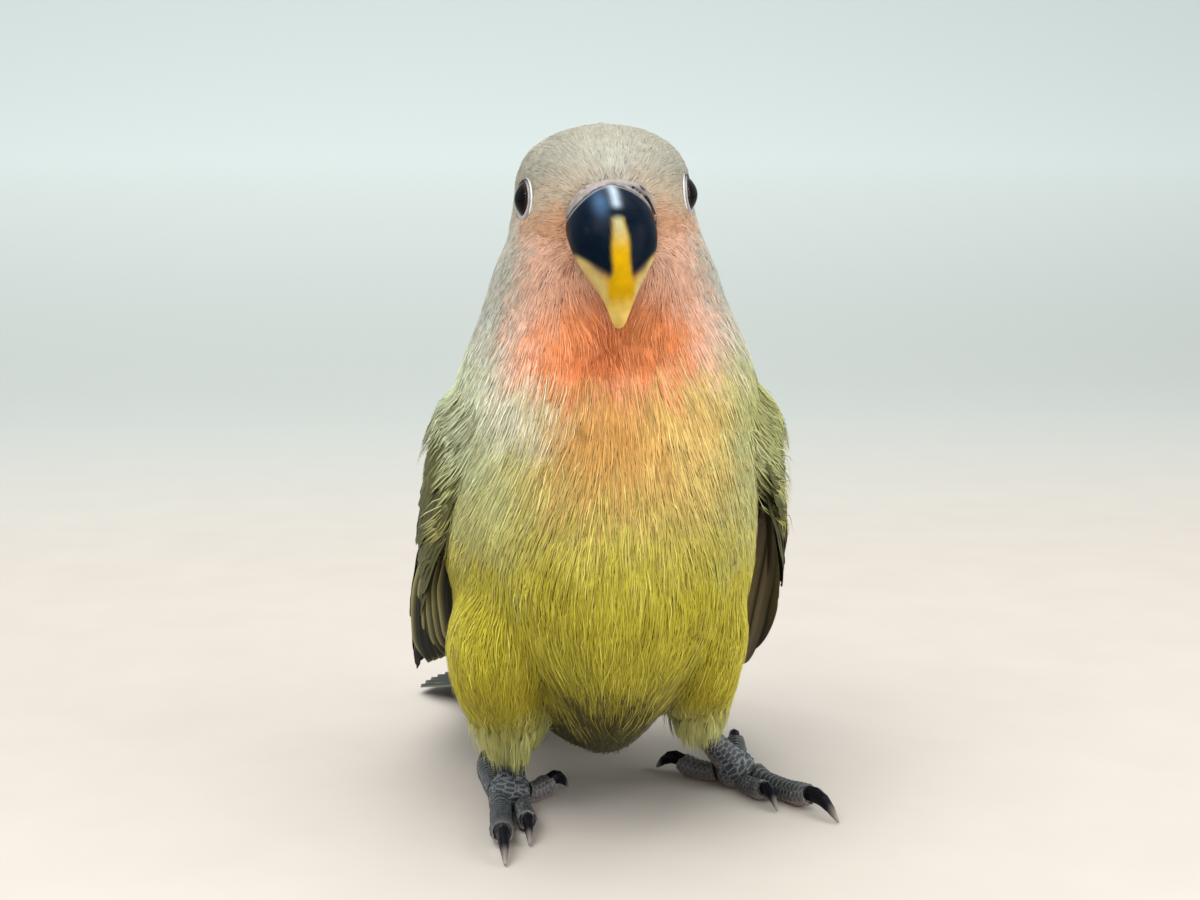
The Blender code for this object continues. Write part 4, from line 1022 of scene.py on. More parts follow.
# A lens on the wing's shell: the shoulder in the skin, the bed under the feathers, or all they cover
def wingLoft(name, sign):
    form = wingForm[name]
    rings = []
    for place in np.linspace(0, 1, form["rings"]):
        s = form["from"] + (form["to"] - form["from"]) * place
        turn = 2 * np.pi * np.arange(form["sides"]) / form["sides"]
        t = 0.5 - (0.5 - form["low"]) * np.cos(turn)
        ss = np.full(form["sides"], s)
        half = form["thickness"] / 2 * math.sqrt(max(1.02 - place**2.4, 0.02)) * min(1.0, 0.6 + 3 * place)
        height = half * np.sin(turn) - form.get("sink", 0.0)
        rings.append(shellPoint(ss, t) + shellNormal(ss, t) * height[:, None])
    rings = np.array(rings)
    rings[..., 0] = sign * rings[..., 0] + stance["wingSwing"] * tailLine(rings[..., 1])
    return loftPiece(name + "Loft", rings, rings[0].mean(0), rings[-1].mean(0))


# Tail: twelve long feathers, with shorter coverts above and below their roots
tailForm = {
    "root": (41, 7.8), "tip": (64.5, 1.3), "normal": (0, 0.3, 1), "seed": 3,
    "Feathers": {
        "count": 12, "fan": 8.6, "rootFan": 3.6, "width": 4.6, "tilt": 11, "shorter": 4.2, "stack": 1.1,
        "uneven": 0.16, "point": 0.72, "rows": 30, "notches": 4, "web": (0.020, 0.023, 0.018),
        "edge": (0.085, 0.092, 0.06), "edgeWidth": 0.16, "under": (0.045, 0.05, 0.045),
    },
    "Coverts": {
        "count": 9, "fan": 6.6, "rootFan": 4.6, "width": 4.6, "tilt": 8, "length": 12.5, "ahead": 2.5,
        "shorter": 2, "fall": 3.6, "rise": 1.1, "stack": 1.1, "arch": 1.5, "uneven": 0.05, "point": 0.6,
        "rows": 20, "notches": 4, "web": (0.07, 0.095, 0.03), "edge": (0.11, 0.14, 0.045), "edgeWidth": 0.5,
        "under": (0.10, 0.11, 0.07),
    },
    "UnderCoverts": {
        "count": 9, "fan": 7, "rootFan": 5, "width": 4.8, "tilt": -6, "length": 13, "ahead": 1,
        "shorter": 3, "fall": 2.6, "rise": -2.9, "stack": 0, "arch": 0,
        "uneven": 0.05, "point": 0.55, "rows": 20, "notches": 4, "web": (0.26, 0.29, 0.08),
        "edge": (0.34, 0.37, 0.14), "edgeWidth": 0.5, "under": (0.20, 0.23, 0.07),
    },
}


def tailBlade(start, end, arch, form, offset, random):
    places = featherPlaces(form["rows"])
    path = start + (end - start) * places[:, None]
    path[:, 2] += arch * np.sin(2.2 * places)
    path[:, 0] += tailLine(path[:, 1])
    normals = np.tile(unit(np.array(tailForm["normal"], float)), (len(path), 1))
    tilt = math.radians(form["tilt"]) * (1 if offset > 0 else -1)
    width = form["width"] * random.uniform(0.95, 1.05)
    return vane(path, normals, places, width, tilt, form, random)


def makeTail(material):
    random = np.random.default_rng(tailForm["seed"])
    root, tip = np.array((0, *tailForm["root"])), np.array((0, *tailForm["tip"]))
    blades = {"Feathers": [], "Coverts": [], "UnderCoverts": []}
    for name, made in blades.items():
        form = tailForm[name]
        for i in range(form["count"]):
            offset = 2 * i / (form["count"] - 1) - 1
            drop = form["stack"] * abs(offset)
            if name == "Feathers":
                start = root + (form["rootFan"] * offset, 0, -0.4 * drop)
                end = tip + (form["fan"] * offset, -form["shorter"] * offset**2, form["stack"] - drop)
            else:
                start = root + (form["rootFan"] * offset, form["ahead"], form["rise"] - drop)
                spread = (form["fan"] - form["rootFan"]) * offset
                end = start + (spread, form["length"] - form["shorter"] * abs(offset), -form["fall"])
            made.append(tailBlade(start, end, form.get("arch", 0.0), form, offset, random))
    for name, made in blades.items():
        vanePiece(f"tail{name}", made, material, ("tail",) if name == "Feathers" else ())
    print("tail")


barbLines = {"slant": -1.5, "warp": 0.5, "apart": 0.26}


# Stiff feathers: colour from the attribute, with slanting barbs drawn from the barb map
def vaneMaterial():
    material, tree, shader = newMaterial("stiffFeathers", 0.62, specular=0.12, sheen=0.02)
    shader.inputs["Sheen Roughness"].default_value = 0.5
    barbMap = node(tree, "UVMap", uv_map="barbs").outputs["UV"]
    split = node(tree, "SeparateXYZ")
    tree.links.new(barbMap, split.inputs[0])
    away = maths(tree, "ABSOLUTE", split.outputs["X"])
    slant = maths(tree, "MULTIPLY_ADD", away, barbLines["slant"], split.outputs["Y"])
    warp = node(tree, "TexNoise", Scale=1.3, Detail=2.0)
    tree.links.new(barbMap, warp.inputs["Vector"])
    warped = maths(tree, "MULTIPLY_ADD", warp.outputs["Fac"], barbLines["warp"], slant)
    wave = maths(tree, "SINE", maths(tree, "MULTIPLY", warped, 2 * math.pi / barbLines["apart"]))
    paintedBy(tree, shader, "plumage", ramp(tree, wave, [(0.0, 0.80), (0.9, 1.08)]))
    bumped(tree, shader, wave, 0.35, 0.00006)
    return material


# The skin: body and thighs in one surface, inside the solids by the depth of the coat
def makeSkin():
    body = bodyLoft()
    bodyTree = treeOf(body)
    bodyRings = pointsOf(body)
    pieces = [body, *(thighLoft(side) for side in sides)]
    pieces += [wingLoft("shoulder", sign) for sign in sides.values()]
    skin = joined("skin", pieces)
    applied(skin, "REMESH", mode="VOXEL", voxel_size=bodyForm["voxel"], adaptivity=0.0)
    applied(skin, "SMOOTH", factor=0.5, iterations=bodyForm["smoothing"])
    depth = combed(pointsOf(skin))[3]
    movePoints(skin, pointsOf(skin) - normalsOf(skin) * (depth * bodyForm["shrink"])[:, None])
    applied(skin, "SMOOTH", factor=0.5, iterations=4)
    # a hollow round each eye, so that the lids stand in the face
    points = pointsOf(skin)
    for sign in sides.values():
        opening, outward = eyePlace(bodyTree, sign)
        away = np.linalg.norm(points - np.array(opening), axis=1)
        points -= np.array(outward) * (eyeForm["hollow"] * bump(away, 0, eyeForm["hollowReach"]))[:, None]
    movePoints(skin, points)
    skin.data.shade_smooth()
    print("skin", len(skin.data.polygons), "faces")
    return skin, bodyTree, bodyRings


skin, bodyTree, bodyRings = makeSkin()
upperBill, lowerBill = billLoft("upper"), billLoft("lower")


# Places on the skin for the tufts, spaced as the marks say
def skinRoots(random):
    points = pointsOf(skin)
    quads = np.array([tuple(p.vertices) for p in skin.data.polygons if len(p.vertices) == 4])
    triangles = np.vstack([quads[:, [0, 1, 2]], quads[:, [0, 2, 3]]])
    a, b, c = (points[triangles[:, k]] for k in range(3))
    area = np.linalg.norm(np.cross(b - a, c - a), axis=1) / 2
    spacing = combed((a + b + c) / 3)[2]
    chance = area / spacing**2
    count = int(chance.sum() * coatForm["candidates"])
    chosen = random.choice(len(triangles), count, p=chance / chance.sum())
    u, v = random.random(count), random.random(count)
    flip = u + v > 1
    u[flip], v[flip] = 1 - u[flip], 1 - v[flip]
    places = a[chosen] + (b - a)[chosen] * u[:, None] + (c - a)[chosen] * v[:, None]
    spacing = combed(places)[2]
    tree = searchTree(places)
    kept, dropped = [], np.zeros(count, bool)
    for i in range(count):
        if dropped[i]:
            continue
        kept.append(i)
        for _, j, _ in tree.find_range(places[i], spacing[i]):
            dropped[j] = True
    return places[kept]


# Search trees of all that the two wings' feathers cover, by side
def coverTrees():
    trees = {}
    for sign in sides.values():
        cover = wingLoft("cover", sign)
        trees[sign] = treeOf(cover)
        bpy.data.objects.remove(cover)
    return trees


# True where something lies out beyond a point, not where the point is inside it
def hiddenBy(tree, point, outward, reach=8.0):
    place, normal, _, _ = tree.ray_cast(point, outward, reach)
    return place is not None and normal.dot(outward) < 0


# How near a tuft may stand to the face's bare parts, and where the wings may cover it, in mm
bareForm = {
    "upperBill": 0.25, "lowerBill": 1.0, "cere": 0.12, "faceFoot": 62.0, "wingTop": 60.0, "wingFrom": 8.0,
    "ahead": 4.0,
}


# True where a tuft may grow: off the bill, the cere and the eyes, and not under a wing
def bareMask(roots):
    form = bareForm
    upperTree, lowerTree = treeOf(upperBill), treeOf(lowerBill)
    eyes = [eyePlace(bodyTree, sign)[0] for sign in sides.values()]
    cere = np.array([tuple(v.co) for v in cadNodes["cere"].data.vertices]) / mm
    cereTree = searchTree(cere)
    framed = toFrame(roots) / mm
    lies = combed(roots)[0]
    keep = np.ones(len(roots), bool)
    for i, root in enumerate(roots):
        point = Vector(root)
        if root[2] > form["faceFoot"] and root[1] < 0.0:
            keep[i] = not (
                insideDepth(upperTree, point) > form["upperBill"]
                or insideDepth(lowerTree, point) > form["lowerBill"]
                or min((point - eye).length for eye in eyes) < eyeForm["opening"] + eyeForm["bare"]
                or cereTree.find(framed[i])[2] < form["cere"]
            )
        elif root[2] < form["wingTop"] and abs(root[0]) > form["wingFrom"]:
            outward = skinNormal(point)
            tree = wingCovers[1 if root[0] > 0 else -1]
            ahead = point + Vector(lies[i]) * form["ahead"]
            keep[i] = not (hiddenBy(tree, point, outward) and hiddenBy(tree, ahead, outward))
    return keep


# Lays the tufts that start just before a wing's front edge over that edge
def lapped(paths, normals):
    form = coatForm["lap"]
    low, high = form["heights"]
    away, reach = form["search"]
    last = paths.shape[1] - 1
    for i, path in enumerate(paths):
        root = Vector(path[0])
        if abs(root.x) < form["from"] or root.y > form["back"] or not low < root.z < high:
            continue
        sign = 1 if root.x > 0 else -1
        out = Vector((sign, form["out"], 0)).normalized()
        if hiddenBy(wingCovers[sign], root, out) or insideDepth(wingCovers[sign], root) > 0:
            continue
        shorter = path[0] + (path - path[0]) * form["shorter"]
        rises, faces = np.zeros(last + 1), [None] * (last + 1)
        for k in range(1, last + 1):
            place, normal, _, _ = wingCovers[sign].ray_cast(Vector(shorter[k]) + out * away, -out, reach)
            if place is not None:
                rises[k] = (place + normal * form["above"] - Vector(shorter[k])).dot(out)
                faces[k] = normal
        if faces[last] is None or not 0 < rises[last] < form["furthest"]:
            continue
        for k in range(1, last + 1):
            share = (k / last) ** form["bow"]
            rise = max(rises[last] * share, rises[k])
            paths[i][k] = shorter[k] + np.array(out) * rise
            normals[i][k] = normals[i][k] * (1 - share) + np.array(faces[last]) * share
    return paths, unit(normals)


wingCovers = coverTrees()
skinTree = treeOf(skin)


def skinNormal(point):
    return skinTree.find_nearest(point)[1]


# (nearest places, normals) on the skin
def onSkin(points):
    places, normals = np.empty_like(points), np.empty_like(points)
    for i, point in enumerate(points):
        place, normal, _, _ = skinTree.find_nearest(point)
        places[i], normals[i] = place, normal
    return places, normals


# Paths of the tufts over the skin with their normals, (tufts, nodes, 3) each
def tuftPaths(roots, reach, random):
    nodes, hem = coatForm["pathNodes"], coatForm["hem"]
    length = combed(roots)[1] * reach * random.uniform(*coatForm["lengths"], len(roots))
    place, normal = onSkin(roots)
    turn = random.normal(0, coatForm["jitter"], len(roots))[:, None]
    x, y, z = roots.T
    onThigh = (np.abs(x) > hem["out"]) & (y > hem["depths"][0]) & (y < hem["depths"][1])
    chance = hem["chance"] * (1 - smoothStep(z, hem["height"] - hem["below"], hem["height"] + hem["above"]))
    hang = onThigh & (random.random(len(roots)) < chance)
    length = np.where(hang, length * random.uniform(*hem["shorter"], len(roots)), length)
    paths, normals = [place], [normal]
    for _ in range(nodes - 1):
        lie = combed(place)[0]
        lie = unit(lie - normal * (lie * normal).sum(1, keepdims=True))
        across = np.cross(normal, lie)
        heading = unit(lie + across * turn)
        heading = np.where(hang[:, None], unit(heading * hem["lie"] + np.array((0, 0, -1.0))), heading)
        ahead = place + heading * (length / (nodes - 1))[:, None]
        place, normal = onSkin(ahead)
        place = np.where(hang[:, None], ahead, place)
        paths.append(place)
        normals.append(normal)
    paths, normals = lapped(np.stack(paths, 1), unit(np.stack(normals, 1)))
    return paths, normals, length


# Values (tufts, nodes, 3) read at places (tufts, barbs, rings) from 0 to 1, carried on past the end
def alongPath(values, places):
    last = values.shape[1] - 1
    scaled = places * last
    i = np.clip(scaled.astype(int), 0, last - 1)
    t = (scaled - i)[..., None]
    tufts = np.arange(len(values))[:, None, None]
    return values[tufts, i] * (1 - t) + values[tufts, i + 1] * t


# Points, triangles, colours and UV places of the barbs of many tufts
def barbs(paths, normals, length, depth, layer, size, colours, uv, random):
    form, ring = barbForm, np.array(layer["rings"])
    tufts, count, rings = len(paths), size["barbs"], len(ring) - 1
    across = unit(np.cross(normals, unit(np.gradient(paths, axis=1))))
    offset = np.linspace(-1, 1, count)[None, :] + random.normal(0, form["scatter"], (tufts, count))
    start = random.uniform(0.0, form["start"], (tufts, count))
    end = 1.0 - form["sideShorter"] * offset**2 + random.normal(0, form["endScatter"], (tufts, count))
    places = start[..., None] + (end - start)[..., None] * ring
    wide = (length * layer["spread"])[:, None, None] * random.uniform(*form["tuftWidths"], (tufts, 1, 1))
    wander = random.normal(0, coatForm["wander"], (tufts, count, 1))
    wander = wander * (length * form["wanderShare"])[:, None, None]
    spread = (1 - (1 - ring) ** form["spreads"]) * (1 - form["gathers"] * ring**2)
    sideways = wide * offset[..., None] * spread + wander * ring**1.5
    height = np.interp(places, form["riseAt"], (*form["rooted"], *layer["proud"]))
    height = height * depth[:, None, None] * random.uniform(*form["tuftHeights"], (tufts, 1, 1))
    height += random.normal(0, form["heightScatter"], (tufts, count, 1)) * depth[:, None, None] * ring
    middle = alongPath(paths, places)
    side, up = unit(alongPath(across, places)), unit(alongPath(normals, places))
    middle = middle + side * sideways[..., None] + up * height[..., None]
    shape = np.interp(ring, form["widthAt"], form["widths"])[:rings]
    half = size["width"] / 2 * shape * random.uniform(*form["barbWidths"], (tufts, count, 1))
    body, bodySide, bodyUp = middle[:, :, :rings], side[:, :, :rings], up[:, :, :rings]
    out = bodySide * half[..., None]
    ridge = body + bodyUp * (half * coatForm["thickness"] * 2)[..., None]
    sections = np.stack([body - out, body + out, ridge], axis=3).reshape(tufts, count, rings * 3, 3)
    points = np.concatenate([sections, middle[:, :, rings:]], axis=2)
    # soft shading: each barb is lit mostly as the plumage it lies in
    own, turn = coatForm["ownNormal"], size["turn"]
    barbTurn = turn * form["turnShare"]
    swing, nod = (
        random.normal(0, turn, (tufts, 1, 1, 1)) + random.normal(0, barbTurn, (tufts, count, 1, 1))
        for _ in range(2)
    )
    facing = up + side * swing + np.cross(side, up) * nod
    bodyFacing = facing[:, :, :rings]
    leaning = np.stack([bodyFacing - bodySide * own, bodyFacing + bodySide * own, bodyFacing], axis=3)
    lit = np.concatenate([leaning.reshape(tufts, count, rings * 3, 3), facing[:, :, rings:]], axis=2)
    # faces: a three-sided tube from ring to ring, closed at both ends
    each, tip = rings * 3 + 1, 3 * (rings - 1)
    faces = [(0, 2, 1)]
    for first in range(0, tip, 3):
        for k in range(3):
            a, b = first + k, first + (k + 1) % 3
            faces += [(a, b, b + 3), (a, b + 3, a + 3)]
    faces += [(tip + k, tip + (k + 1) % 3, each - 1) for k in range(3)]
    base = (np.arange(tufts * count) * each)[:, None, None]
    triangles = (base + np.array(faces)[None]).reshape(-1, 3)
    # paint: a tone for each tuft and barb, with painted shade at the roots and a painted highlight towards
    # the tips
    alongBarb = np.append(np.repeat(ring[:rings], 3), 1.0)
    shade = coatForm["shade"][0] + coatForm["shade"][1] * alongBarb
    tuftTone = random.normal(1.0, size["tone"], (tufts, 1, 1))
    tone = tuftTone * random.normal(1.0, size["tone"], (tufts, count, 1))
    tint = colours[:, None, None, :] * (shade[None, None] * tone)[..., None]
    most = layer["paleTip"] * (coatForm["fineTipHighlight"] if size is layer["fine"] else 1.0)
    pale = most * (random.random((tufts, count, 1)) ** 2 * 2.2) * alongBarb ** layer["paleFrom"]
    tint = tint + (tint * coatForm["tipHighlightKeep"] + np.array(coatForm["tipHighlight"])) * pale[..., None]
    across = np.broadcast_to((offset / 2)[..., None], (tufts, count, each))
    down = np.broadcast_to(alongBarb - 0.5, (tufts, count, each))
    places = uv[:, None, None, :] + np.stack([across, down], axis=-1) * coatForm["patch"]
    tint = np.clip(tint.reshape(-1, 3), 0.001, 1.0)
    return points.reshape(-1, 3), triangles, tint, places.reshape(-1, 2), unit(lit.reshape(-1, 3))


# Places on an unwrap of the body's own loft: round it and along it, both from 0 to 1
def unwrapped(points):
    columns = bodyForm["sides"]
    rows = (len(bodyRings) - 2) // columns
    tree = searchTree(bodyRings[: rows * columns])
    uv = np.empty((len(points), 2))
    for i, point in enumerate(points):
        near = tree.find_n(point, 4)
        weight = np.array([1 / (gap + 0.05) for _, _, gap in near])
        index = np.array([k for _, k, _ in near])
        turn = (index % columns) / columns
        turn = np.where(turn - turn[0] > 0.5, turn - 1, np.where(turn[0] - turn > 0.5, turn + 1, turn))
        uv[i] = (weight @ turn) / weight.sum() % 1.0, weight @ (index // columns) / weight.sum() / rows
    return uv * 0.98 + 0.01


# The name of the coat piece that each root belongs to
def zoneOf(roots):
    x, y, z = roots.T
    names = np.full(len(roots), "coatBelly", object)
    front = y < backLine(z)
    names[(z > 30) & front & (x < 0)] = "coatBreastRight"
    names[(z > 30) & front & (x >= 0)] = "coatBreastLeft"
    names[~front] = "coatBack"
    names[(z > 54) & (y < 6)] = "coatThroat"
    thigh = (z < 29) & (np.abs(x) > 7.5) & (y > -9) & (y < 16)
    names[thigh & (x < 0)] = "coatThighRight"
    names[thigh & (x > 0)] = "coatThighLeft"
    head = z > 68.5
    names[head & (x < 0)] = "coatFaceRight"
    names[head & (x >= 0)] = "coatFaceLeft"
    crown = (z > 83) | (head & (y > 0))
    names[crown & (y < -3)] = "coatCrownFront"
    names[crown & (y >= -3)] = "coatCrown"
    return names


def makeCoat(material):
    random = np.random.default_rng(coatForm["seed"])
    allRoots = skinRoots(random)
    allRoots = allRoots[bareMask(allRoots)]
    for layerName in ("down", "strands"):
        layer = coatForm[layerName]
        roots = allRoots[random.random(len(allRoots)) < layer["kept"]]
        print(layerName, len(roots), "tufts")
        paths, normals, length = tuftPaths(roots, layer["reach"], random)
        depth = combed(roots)[3]
        ragged = random.normal(0, 1, (len(roots), 3)) * (coatForm["ragged"] * length)[:, None]
        # tufts of the body that lap over a wing keep the body's colour
        seen, reach = paths[:, 2].copy(), coatForm["bodyReach"]
        fromBody = np.abs(roots[:, 0]) < reach
        seen[fromBody, 0] = np.clip(seen[fromBody, 0], -reach, reach)
        colours = plumage(seen, ragged)
        onWing = np.array([insideDepth(wingCovers[1 if r[0] > 0 else -1], Vector(r)) > -0.2 for r in roots])
        onWing &= roots[:, 2] < bareForm["wingTop"]
        wingTone = random.normal(1, coatForm["wingTone"], (len(roots), 1))
        wingTint = np.array(plumageColours["wing"]) * wingTone
        colours = np.where(onWing[:, None], wingTint, colours)
        uv = unwrapped(roots)
        zones = zoneOf(roots)
        for zone in sorted(set(zones)):
            fine = zone.startswith(("coatFace", "coatCrown"))
            size = layer["fine" if fine else "broad"]
            here = zones == zone
            points, triangles, tint, places, lit = barbs(
                *(values[here] for values in (paths, normals, length, depth)),
                layer, size, colours[here], uv[here], random,
            )
            name = zone if layerName == "down" else zone.replace("coat", "strands")
            piece = meshPiece(name, toFrame(points), triangles)
            facing = unit(toFrame(points + lit * 0.01) - toFrame(points))
            piece.data.normals_split_custom_set_from_vertices(facing)
            addColour(piece, "plumage", tint)
            addUv(piece, "OFBake", places)
            settle(piece, material)
            print(zone, here.sum(), "tufts", len(triangles), "triangles")


# Feather colour from the coat's own attribute, with a fine fleck
def featherMaterial():
    material, tree, shader = newMaterial("feathers", 0.62, specular=0.15, sheen=0.04)
    shader.inputs["Sheen Roughness"].default_value = 0.5
    fleck = textured(tree, "TexNoise", Scale=900.0, Detail=2.0)
    paintedBy(tree, shader, "plumage", ramp(tree, fleck.outputs["Fac"], [(0.3, 0.88), (0.7, 1.0)]))
    return material


feathers = featherMaterial()
makeCoat(feathers)

skinTint = plumage(pointsOf(skin)) * 0.9
addColour(skin, "plumage", skinTint)
movePoints(skin, toFrame(pointsOf(skin)))
settle(skin, feathers, ("head", "neck", "torso", "thigh_left", "thigh_right"))

# The bill's colours: dark lobes at the base, a yellow ridge and tip, cream cutting edges, and painted
# highlights: a pale streak under the cere, a bluish sheen on the left lobe and a thin glint along the cere
billMarks = {
    "dark": (0.0012, 0.0042, 0.010), "ridge": (0.44, 0.245, 0.0015), "ridgeTop": (0.30, 0.28, 0.14),
    "cream": (0.46, 0.34, 0.115), "tip": (0.62, 0.44, 0.115), "seam": (0.09, 0.045, 0.045),
    "above": (0.30, 0.36, 0.42), "lower": (0.28, 0.105, 0.02), "paintedSheen": (0.030, 0.070, 0.130),
    "glint": (0.26, 0.29, 0.31), "stripeTop": 79.0, "stripeEnd": 75.6, "stripeWidth": 0.98, "narrow": 0.62,
    "wideTip": 0.5, "edge": 0.36, "lobeInner": (1.5, 72.6), "lobeOuter": (4.4, 74.6),
    "creamSlope": 0.36, "creamFoot": 67.5,
    "cereTop": 82.5, "cereArch": (0.19, 1.8), "cereSlope": (0.25, 17.0),
}
billEdges = {
    "lowerBack": (-13.4, -11.0), "tipDown": (70.5, 67.5), "wideDown": (73.8, 70.5), "creamOut": (-0.5, 0.8),
    "ridgeTopUp": (74.8, 78.6), "lobeBack": (-21.0, -16.5), "seamOut": (2.6, 3.8), "highlightUp": (79.6, 80.6),
}


# The points as they were before the bill was turned and widened
def straightBill(points):
    x, y = points[:, 0] - billForm["turnedAt"][0], points[:, 1] - billForm["turnedAt"][1]
    turn = math.sin(billForm["turn"])
    x = (x + y * turn) / billForm["wider"]
    return np.stack([x, points[:, 1] - x * turn, points[:, 2]], 1)


# How far the points are above the arch where the bare skin ends on the bill
def cereLine(points):
    (arch, power), (slope, ahead) = billMarks["cereArch"], billMarks["cereSlope"]
    x, y, z = points.T
    return z + arch * np.abs(x) ** power + slope * (y + ahead) - billMarks["cereTop"]


# One colour for all the points
def plain(points, colour):
    return np.outer(np.ones(len(points)), colour)


def lerpColour(colour, target, share):
    return colour + (np.array(target) - colour) * np.asarray(share)[:, None]


def billTint(points, lower):
    marks, edges = billMarks, billEdges
    x, y, z = (points if lower else straightBill(points)).T
    if lower:
        darkened = smoothStep(y, *edges["lowerBack"]) * 0.8
        return lerpColour(plain(points, marks["lower"]), marks["dark"], darkened)
    side = np.abs(x + 0.04 * np.sin(z * 1.7))
    soft = marks["edge"]
    narrow = marks["stripeWidth"] * marks["narrow"]
    width = narrow + (marks["stripeWidth"] - narrow) * smoothStep(z, marks["stripeTop"], marks["stripeEnd"])
    width = width + marks["wideTip"] * smoothStep(z, *edges["wideDown"])
    outside = smoothStep(side, width - soft, width + soft)
    (x0, z0), (x1, z1) = marks["lobeInner"], marks["lobeOuter"]
    lobe = z0 + np.clip((side - x0) / (x1 - x0), -0.12, 1.2) * (z1 - z0)
    inLobe = smoothStep(z - lobe + 0.5 * smoothStep(y, *edges["lobeBack"]), -1.4 * soft, 1.4 * soft)
    above = smoothStep(z + 0.5 * x**2, marks["stripeTop"] - 0.6, marks["stripeTop"] + 0.5)
    creamSide = side - marks["creamSlope"] * (z - marks["creamFoot"])
    seam = bump(z - lobe, 0.1, 0.8) * outside
    cereGlint = bump(cereLine(np.stack([x, y, z], 1)), -0.3, 0.13)
    layers = (
        ("tip", smoothStep(z, *edges["tipDown"])),
        ("cream", smoothStep(creamSide, *edges["creamOut"]) * outside),
        ("ridgeTop", smoothStep(z, *edges["ridgeTopUp"]) * (1 - outside)),
        ("seam", seam * 0.85 * (1 - smoothStep(side, *edges["seamOut"]))),
        ("dark", inLobe * np.maximum(outside, above)),
        # painted highlights: a bluish sheen on the left lobe, a pale streak under the cere's arch and a
        # thin glint along the cere's edge
        ("paintedSheen", inLobe * outside * bump(x, -1.7, 0.8) * bump(z, 80.6, 1.3)),
        ("above", bump(x, 0, 0.5) * smoothStep(z, *edges["highlightUp"]) * 0.9),
        ("glint", cereGlint * inLobe * 0.55),
    )
    colour = plain(points, marks["ridge"])
    for name, share in layers:
        colour = lerpColour(colour, marks[name], share)
    return np.clip(colour, 0.001, 1)


# Polished horn: colour from the attribute, faint growth lines and a clear gloss
def hornMaterial(name, roughness, fleckSize):
    material, tree, shader = newMaterial(name, roughness, specular=0.03)
    grain = textured(tree, "TexNoise", Scale=fleckSize, Detail=4.0)
    paintedBy(tree, shader, "horn", ramp(tree, grain.outputs["Fac"], [(0.3, 0.86), (0.7, 1.06)]))
    worn = ramp(tree, grain.outputs["Fac"], [(0.35, roughness * 0.8), (0.75, roughness * 1.6)])
    tree.links.new(worn, shader.inputs["Roughness"])
    bumped(tree, shader, grain.outputs["Fac"], 0.12, 0.00008)
    return material


def makeBill(material):
    for piece, nodeName, slotName in ((upperBill, "bill_upper", "bill"), (lowerBill, "bill_lower", "horn")):
        points = pointsOf(piece)
        addColour(piece, "horn", billTint(points, piece is lowerBill))
        movePoints(piece, toFrame(points))
        settle(piece, material, (nodeName,))
    print("bill")


# A copy of a CAD node's mesh, with its doubled corners merged
def nodeCopy(nodeName, name):
    piece = bpy.data.objects.new(name, cadNodes[nodeName].data.copy())
    bpy.context.scene.collection.objects.link(piece)
    piece.data.name = name
    edited(piece, bpy.ops.mesh.remove_doubles, threshold=1e-6)
    return piece


cereForm = {
    "voxel": 0.11, "smoothing": 8, "sunk": 0.12, "saddle": (0.14, 0.40), "saddleReach": 1.5, "thick": 0.45,
}


# Bare skin over the bill's upper corners, cut from the bill's own form and raised off it
def makeSaddle():
    whole = billLoft("upper")
    points, normals = pointsOf(whole), normalsOf(whole)
    straight = straightBill(points)
    above = cereLine(straight)
    low, high = cereForm["saddle"]
    rise = low + (high - low) * smoothStep(above, -0.1, cereForm["saddleReach"])
    points = points + normals * rise[:, None]
    kept = (above > -0.12) & (points[:, 1] < -10.0)
    faces = [tuple(p.vertices) for p in whole.data.polygons if all(kept[v] for v in p.vertices)]
    used = sorted({v for face in faces for v in face})
    number = {v: i for i, v in enumerate(used)}
    saddle = meshPiece("saddle", points[used], [tuple(number[v] for v in face) for face in faces])
    applied(saddle, "SOLIDIFY", thickness=cereForm["thick"], offset=-1.0)
    movePoints(saddle, toFrame(pointsOf(saddle)))
    bpy.data.objects.remove(whole)
    return saddle


# The bare skin over the bill with its nostrils, low enough for the feathers round it to lap over
def makeCere():
    cere = nodeCopy("cere", "cere")
    movePoints(cere, pointsOf(cere) - normalsOf(cere) * cereForm["sunk"] * mm)
    cere = joined("cere_skin", [cere, makeSaddle()])
    applied(cere, "REMESH", mode="VOXEL", voxel_size=cereForm["voxel"] * mm, adaptivity=0.0)
    applied(cere, "SMOOTH", factor=0.5, iterations=cereForm["smoothing"])
    cere.data.shade_smooth()
    material, tree, shader = newMaterial("bareSkin", 0.6, specular=0.25)
    pores = textured(tree, "TexVoronoi", Scale=3200.0)
    blush = textured(tree, "TexNoise", Scale=520.0, Detail=3.0)
    shade = ramp(tree, blush.outputs["Fac"], [(0.35, (0.135, 0.115, 0.105)), (0.65, (0.215, 0.188, 0.175))])
    tree.links.new(shade, shader.inputs["Base Color"])
    bumped(tree, shader, pores.outputs["Distance"], 0.4, 0.00008)
    shader.inputs["Subsurface Weight"].default_value = 0.15
    shader.inputs["Subsurface Radius"].default_value = (0.0006, 0.0003, 0.0002)
    settle(cere, material, ("cere",))


# Eyes: a clear bulge over a dark iris, between a grey inner lid and a pale ring of tiny scales
def placeOnEye(piece, opening, outward, offset=0.0):
    turn = outward.to_track_quat("Z", "Y").to_matrix()
    points = pointsOf(piece) @ np.array(turn).T + np.array(opening + outward * offset)
    movePoints(piece, toFrame(points))


